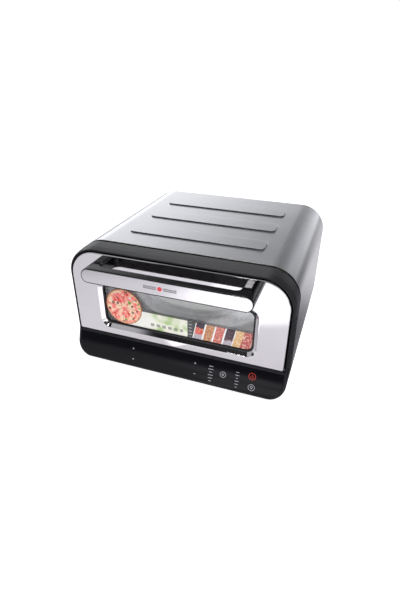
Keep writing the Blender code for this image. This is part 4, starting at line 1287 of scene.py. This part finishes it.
def screw(name="screw"):
    """A pan head with a cross recess: it rises along Z from its seat at the origin."""
    head = soft_corners(
        [
            (0.0, 0.0021), (0.0016, 0.0019), (0.0031, 0.0010), (0.0035, 0.0001), (0.0030, -0.0001),
            (0.0, -0.0001),
        ],
        0.0006,
    )
    body = turned(name, head, Vector(), (0, 0, 1), steps=32)
    bm = bmesh.new()
    for turn in (0, math.pi / 2):
        size = Matrix.Diagonal((0.0034, 0.0007, 0.0022)).to_4x4()
        bmesh.ops.create_cube(
            bm,
            size=1,
            matrix=Matrix.Rotation(turn, 4, "Z") @ Matrix.Translation((0, 0, 0.0022)) @ size,
        )
    cross = mesh_of("cross", bm)
    step = cross.modifiers.new("join", "REMESH")
    step.mode, step.voxel_size = "VOXEL", 0.00012
    return boolean(body, baked(cross))


def back_panel():
    y0, y1 = BACK[0].y - FACE, BACK[1].y - FACE
    edge = [(0.0003, y0), (0.0, y0 + 0.0003), (0.0, y1 - 0.0003), (0.0003, y1)]
    plate = skin(
        "back_sheet",
        [
            [
                at(x, y, z)
                for x, z in rounded(
                    BACK[1].x - i, BACK[0].z + i, BACK[1].z - i, R_TOP - 0.0015 - i,
                    R_FOOT - 0.0015 - i, 24,
                )
            ]
            for i, y in edge
        ],
    )
    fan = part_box("fan_housing")
    fx, fz = (fan[0].x + fan[1].x) / 2, (fan[0].z + fan[1].z) / 2
    spots = [at(fx - 0.020 + 0.010 * i, y0, fz) for i in range(5)]
    plate = boolean(
        plate, copies("fan_slots", slot_tool("fan_slot", 0.005, 0.046, 0.02, 0.0024, "y"), spots)
    )
    spots = [at(-0.105 + 0.030 * i, y0, TOP - 0.052) for i in range(8)]
    plate = boolean(
        plate, copies("air_slots", slot_tool("air_slot", 0.020, 0.006, 0.02, 0.0029, "y"), spots)
    )
    low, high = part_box("cord_gland")
    gx, gz = (low.x + high.x) / 2, (low.z + high.z) / 2
    plate = boolean(
        plate, turned("gland_bore", [(0.0083, -0.01), (0.0083, 0.01)], at(gx, y0, gz), (0, 1, 0))
    )
    keep(plate, "oven_body", GALVANISED, "rear_panel", angle=30)
    profile = [
        (0.0040, -0.0090), (0.0105, -0.0090), (0.0115, -0.0080), (0.0115, -0.0003),
        (0.0080, -0.0003), (0.0080, 0.0015), (0.0125, 0.0015), (0.0120, 0.0050), (0.0085, 0.0055),
        (0.0072, high.y - BACK[0].y), (0.0040, high.y - BACK[0].y),
    ]
    keep(
        turned(
            "cord_bush",
            soft_corners(profile + [profile[0]], 0.0007)[1:],
            Vector((gx, BACK[0].y, gz)),
            (0, 1, 0),
            cyclic=True,
        ),
        "oven_body",
        MATT_BLACK,
        "cord_gland",
    )
    rim = [
        (side * x, z) for x, z in ((0.19, 0.030), (0.215, 0.13), (0.185, 0.236)) for side in (-1, 1)
    ]
    rim += [(0.0, 0.249), (-0.08, 0.018), (0.08, 0.018)]
    rim += [(fx + 0.025 * i, fz + 0.025 * j) for i in (-1, 1) for j in (-1, 1)]
    made = copies(
        "back_screws",
        screw(),
        [Vector((x, BACK[1].y, z)) for x, z in rim],
        turn=(-math.pi / 2, 0, 0),
        spin=6.0,
        look=SPRING,
    )
    keep(made, "oven_body", SPRING)


back_panel()


# %% Feet and the plate under the body
def underside():
    for name in sorted(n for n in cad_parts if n.startswith("foot_")):
        low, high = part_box(name)
        centre, top = Vector(((low.x + high.x) / 2, (low.y + high.y) / 2, 0)), LOW + SHEET
        profile = [
            (0, 0.0006), (0.006, 0.0006), (0.0075, 0.0), (0.0125, 0.0), (0.0135, 0.001),
            (0.0155, top - 0.0012), (0.0150, top), (0.0045, top), (0.0045, high.z), (0, high.z),
        ]
        keep(
            turned(
                name.replace("foot_", "rubber_foot_"),
                soft_corners(profile, 0.0008),
                centre,
                (0, 0, 1),
            ),
            "oven_body",
            RUBBER,
            name,
        )
    low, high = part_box("base_plate")
    spots = [(x, y) for x in (-0.176, 0.176) for y in (low.y + 0.012, high.y - 0.012)]
    spots = [Vector((x, y, low.z - 0.0001)) for x, y in spots + [(-0.176, 0.045), (0.176, 0.045)]]
    made = copies(
        "base_screws", screw("base_screw"), spots, turn=(math.pi, 0, 0), spin=6.0, seed=8,
        look=SPRING,
    )
    keep(made, "oven_body", SPRING)


underside()


# %% [markdown]
# ## Hinge springs
# A coil round each hinge pin holds the door shut for its last few degrees.

# %% Springs
for side, name in ((-1, "left"), (1, "right")):
    low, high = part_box(f"door_spring_{name}")
    cy, cz, r = (low.y + high.y) / 2, (low.z + high.z) / 2, (high.z - low.z) / 2 - 0.0005
    coil = [
        Vector(
            (
                low.x + 0.0006 + (high.x - low.x - 0.0012) * i / 240,
                cy + r * math.cos(i * math.tau / 40),
                cz + r * math.sin(i * math.tau / 40),
            )
        )
        for i in range(241)
    ]
    keep(pipe(f"hinge_coil_{name}", coil, 0.0004, 12), "door", SPRING, f"door_spring_{name}")

# %% [markdown]
# ## Stage, light and camera
# A pale floor without an edge, and a studio made of soft light: bright behind and to the left,
# which shades the satin top from light to dark, and dim in front, which keeps the panel black.
# The camera sees an even white. Reflections see the brighter and darker patches of the floor and
# the sky, which are placed where the polished door and the handle mirror them.

# %% Floor
bpy.ops.mesh.primitive_plane_add(size=30, location=(0, 0, 0))
floor = bpy.context.object
floor.name = "floor"
sh = Shader("pale_floor", (0.9, 0.9, 0.905), 0.0, 0.7)
eye = Value(sh, sh.node("ShaderNodeLightPath", {}).outputs["Is Camera Ray"])


def span(x0, y0):
    """The distance to a place on the floor."""
    u, v = sh.x - x0, sh.y - y0
    return (u * u + v * v).root()


reach, pool, far_pool = span(-0.05, -0.2), span(0.10, -0.60), span(-0.03, -1.10)
along = (sh.y + 0.425) * 0.71 - (sh.x - 0.062) * 0.70
side = (sh.x - 0.062) * 0.71 + (sh.y + 0.425) * 0.70
streak = (
    (1 - abs(side).soft(0.018, 0.030))
    * along.soft(-0.08, -0.05)
    * (1 - along.soft(0.16, 0.19))
)
shade = (
    sh.x.soft(0.19, 0.27)
    * (1 - sh.y.soft(0.02, 0.42))
    * (1 - sh.x.soft(0.5, 0.9))
    * sh.y.soft(-0.35, -0.2)
)
slant = (sh.x - sh.y * 0.35).soft(0.28, 0.40)
shade = shade.max(slant * sh.y.soft(-0.3, 0.0))
far_glow = sh.x.soft(0.2, 0.4) * sh.y.soft(0.8, 1.2) * (1 - slant) * (1 - sh.y.soft(3, 5)) * 0.75
wide = 0.07 + (1 - (sh.x * -1).soft(-0.1, 0.6)) * 0.12
wide = wide + sh.x.soft(0.2, 0.3) * sh.y.soft(0.1, 0.5) * 0.10
pale = (1 - shade * 0.92) * (1 - reach.soft(0.95, 1.7) * 0.95) * wide
pale = pale + (1 - pool.soft(0.135, 0.175)) * 0.5 + (1 - far_pool.soft(0.16, 0.34)) * 0.5
pale = pale + streak + far_glow
glow = pale * (1 - eye) + eye * 0.8
dark = reach.soft(0.95, 1.7).max(shade) * (1 - eye)
sh.set(Base_Color=sh.mix(dark, (0.80, 0.79, 0.82), (0.10, 0.10, 0.11)))
sh.set(Roughness=sh.noise(3) * 0.03 + 0.7)
sh.set(Emission_Color=sh.mix(glow, (0, 0, 0), (1, 0.985, 1.0)), Emission_Strength=1.0)
floor.data.materials.append(sh.material)


# %% Studio
def studio():
    world = bpy.data.worlds.new("studio")
    bpy.context.scene.world = world
    world.use_nodes = True
    tree = world.node_tree
    tree.nodes.clear()
    sky = Shader.__new__(Shader)
    sky.tree = tree
    way = sky.node("ShaderNodeTexCoord", {}).outputs["Generated"]
    x, y, z = (Value(sky, s) for s in sky.node("ShaderNodeSeparateXYZ", {}, way).outputs)
    slope = x * -1 - z * 2.2
    behind = slope.soft(-0.70, -0.20) * y.soft(0.0, 0.35)
    above = z.soft(0.60, 0.97)
    right = x.soft(0.30, 0.85) * (1 - z.soft(0.25, 0.6))
    strip = (
        x.soft(-0.15, 0.35)
        * y.soft(0.5, 0.9)
        * (1 - z.soft(0.22, 0.5))
        * (1 - x.soft(0.36, 0.46))
    )
    right = right + strip * 2.4
    near_right = x.soft(0.25, 0.5) * (1 - z.soft(0.55, 0.8)) * (1 - y.soft(-0.6, -0.1))
    left = (x * -1).soft(0.38, 0.42) * (1 - z.soft(0.62, 0.85)) * (1 - y.soft(-0.3, 0.2))
    light = behind * 2.0 + above * 0.4 + right * 0.3 + left * 0.5 + near_right * 1.4
    light = light + y.soft(-0.5, 0.3) * 0.105 + 0.015
    white = sky.node("ShaderNodeBackground", {}, (1, 1, 1, 1), 1.05)
    soft = sky.node("ShaderNodeBackground", {}, (0.97, 0.98, 1.0, 1), light)
    seen = sky.node("ShaderNodeLightPath", {}).outputs["Is Camera Ray"]
    both = sky.node("ShaderNodeMixShader", {}, seen, soft.outputs[0], white.outputs[0])
    out = tree.nodes.new("ShaderNodeOutputWorld")
    tree.links.new(both.outputs[0], out.inputs["Surface"])


studio()


def softbox(name, place, aim, size, power):
    light = bpy.data.lights.new(name, "AREA")
    light.shape, light.size, light.size_y, light.energy = "RECTANGLE", *size, power
    obj = bpy.data.objects.new(name, light)
    obj.location = place
    obj.rotation_euler = (Vector(aim) - Vector(place)).to_track_quat("-Z", "Y").to_euler()
    obj.visible_camera = False
    bpy.context.scene.collection.objects.link(obj)
    return obj


softbox("key", (-0.5, 1.5, 1.9), (0, 0, 0.1), (1.4, 0.35), 9)
softbox("front", (0.9, -1.5, 1.7), (0, -0.2, 0.1), (2.2, 1.6), 34).visible_glossy = False
softbox("accent", (-0.14, -1.40, 0.91), (0.15, -0.20, 0.25), (0.12, 0.10), 0.45)

# %% Camera
view = bpy.context.scene.view_settings
view.view_transform, view.look, view.exposure, view.gamma = "Standard", "None", 0.0, 1.0
camera = bpy.data.objects.new("camera", bpy.data.cameras.new("camera"))
bpy.context.scene.collection.objects.link(camera)
camera.data.lens, camera.data.sensor_width, camera.data.clip_start = 25.449, 36, 0.02
az, el, roll = 0.346, 0.5256, 0.0053
ahead = Vector((-math.sin(az) * math.cos(el), math.cos(az) * math.cos(el), -math.sin(el)))
across = ahead.cross(Vector((0, 0, 1))).normalized()
upward = across.cross(ahead)
right = across * math.cos(roll) + upward * math.sin(roll)
upright = upward * math.cos(roll) - across * math.sin(roll)
turn = Matrix((right, upright, -ahead)).transposed().to_4x4()
camera.matrix_world = Matrix.Translation((0.2836, -0.8309, 0.5882)) @ turn
bpy.context.scene.camera = camera
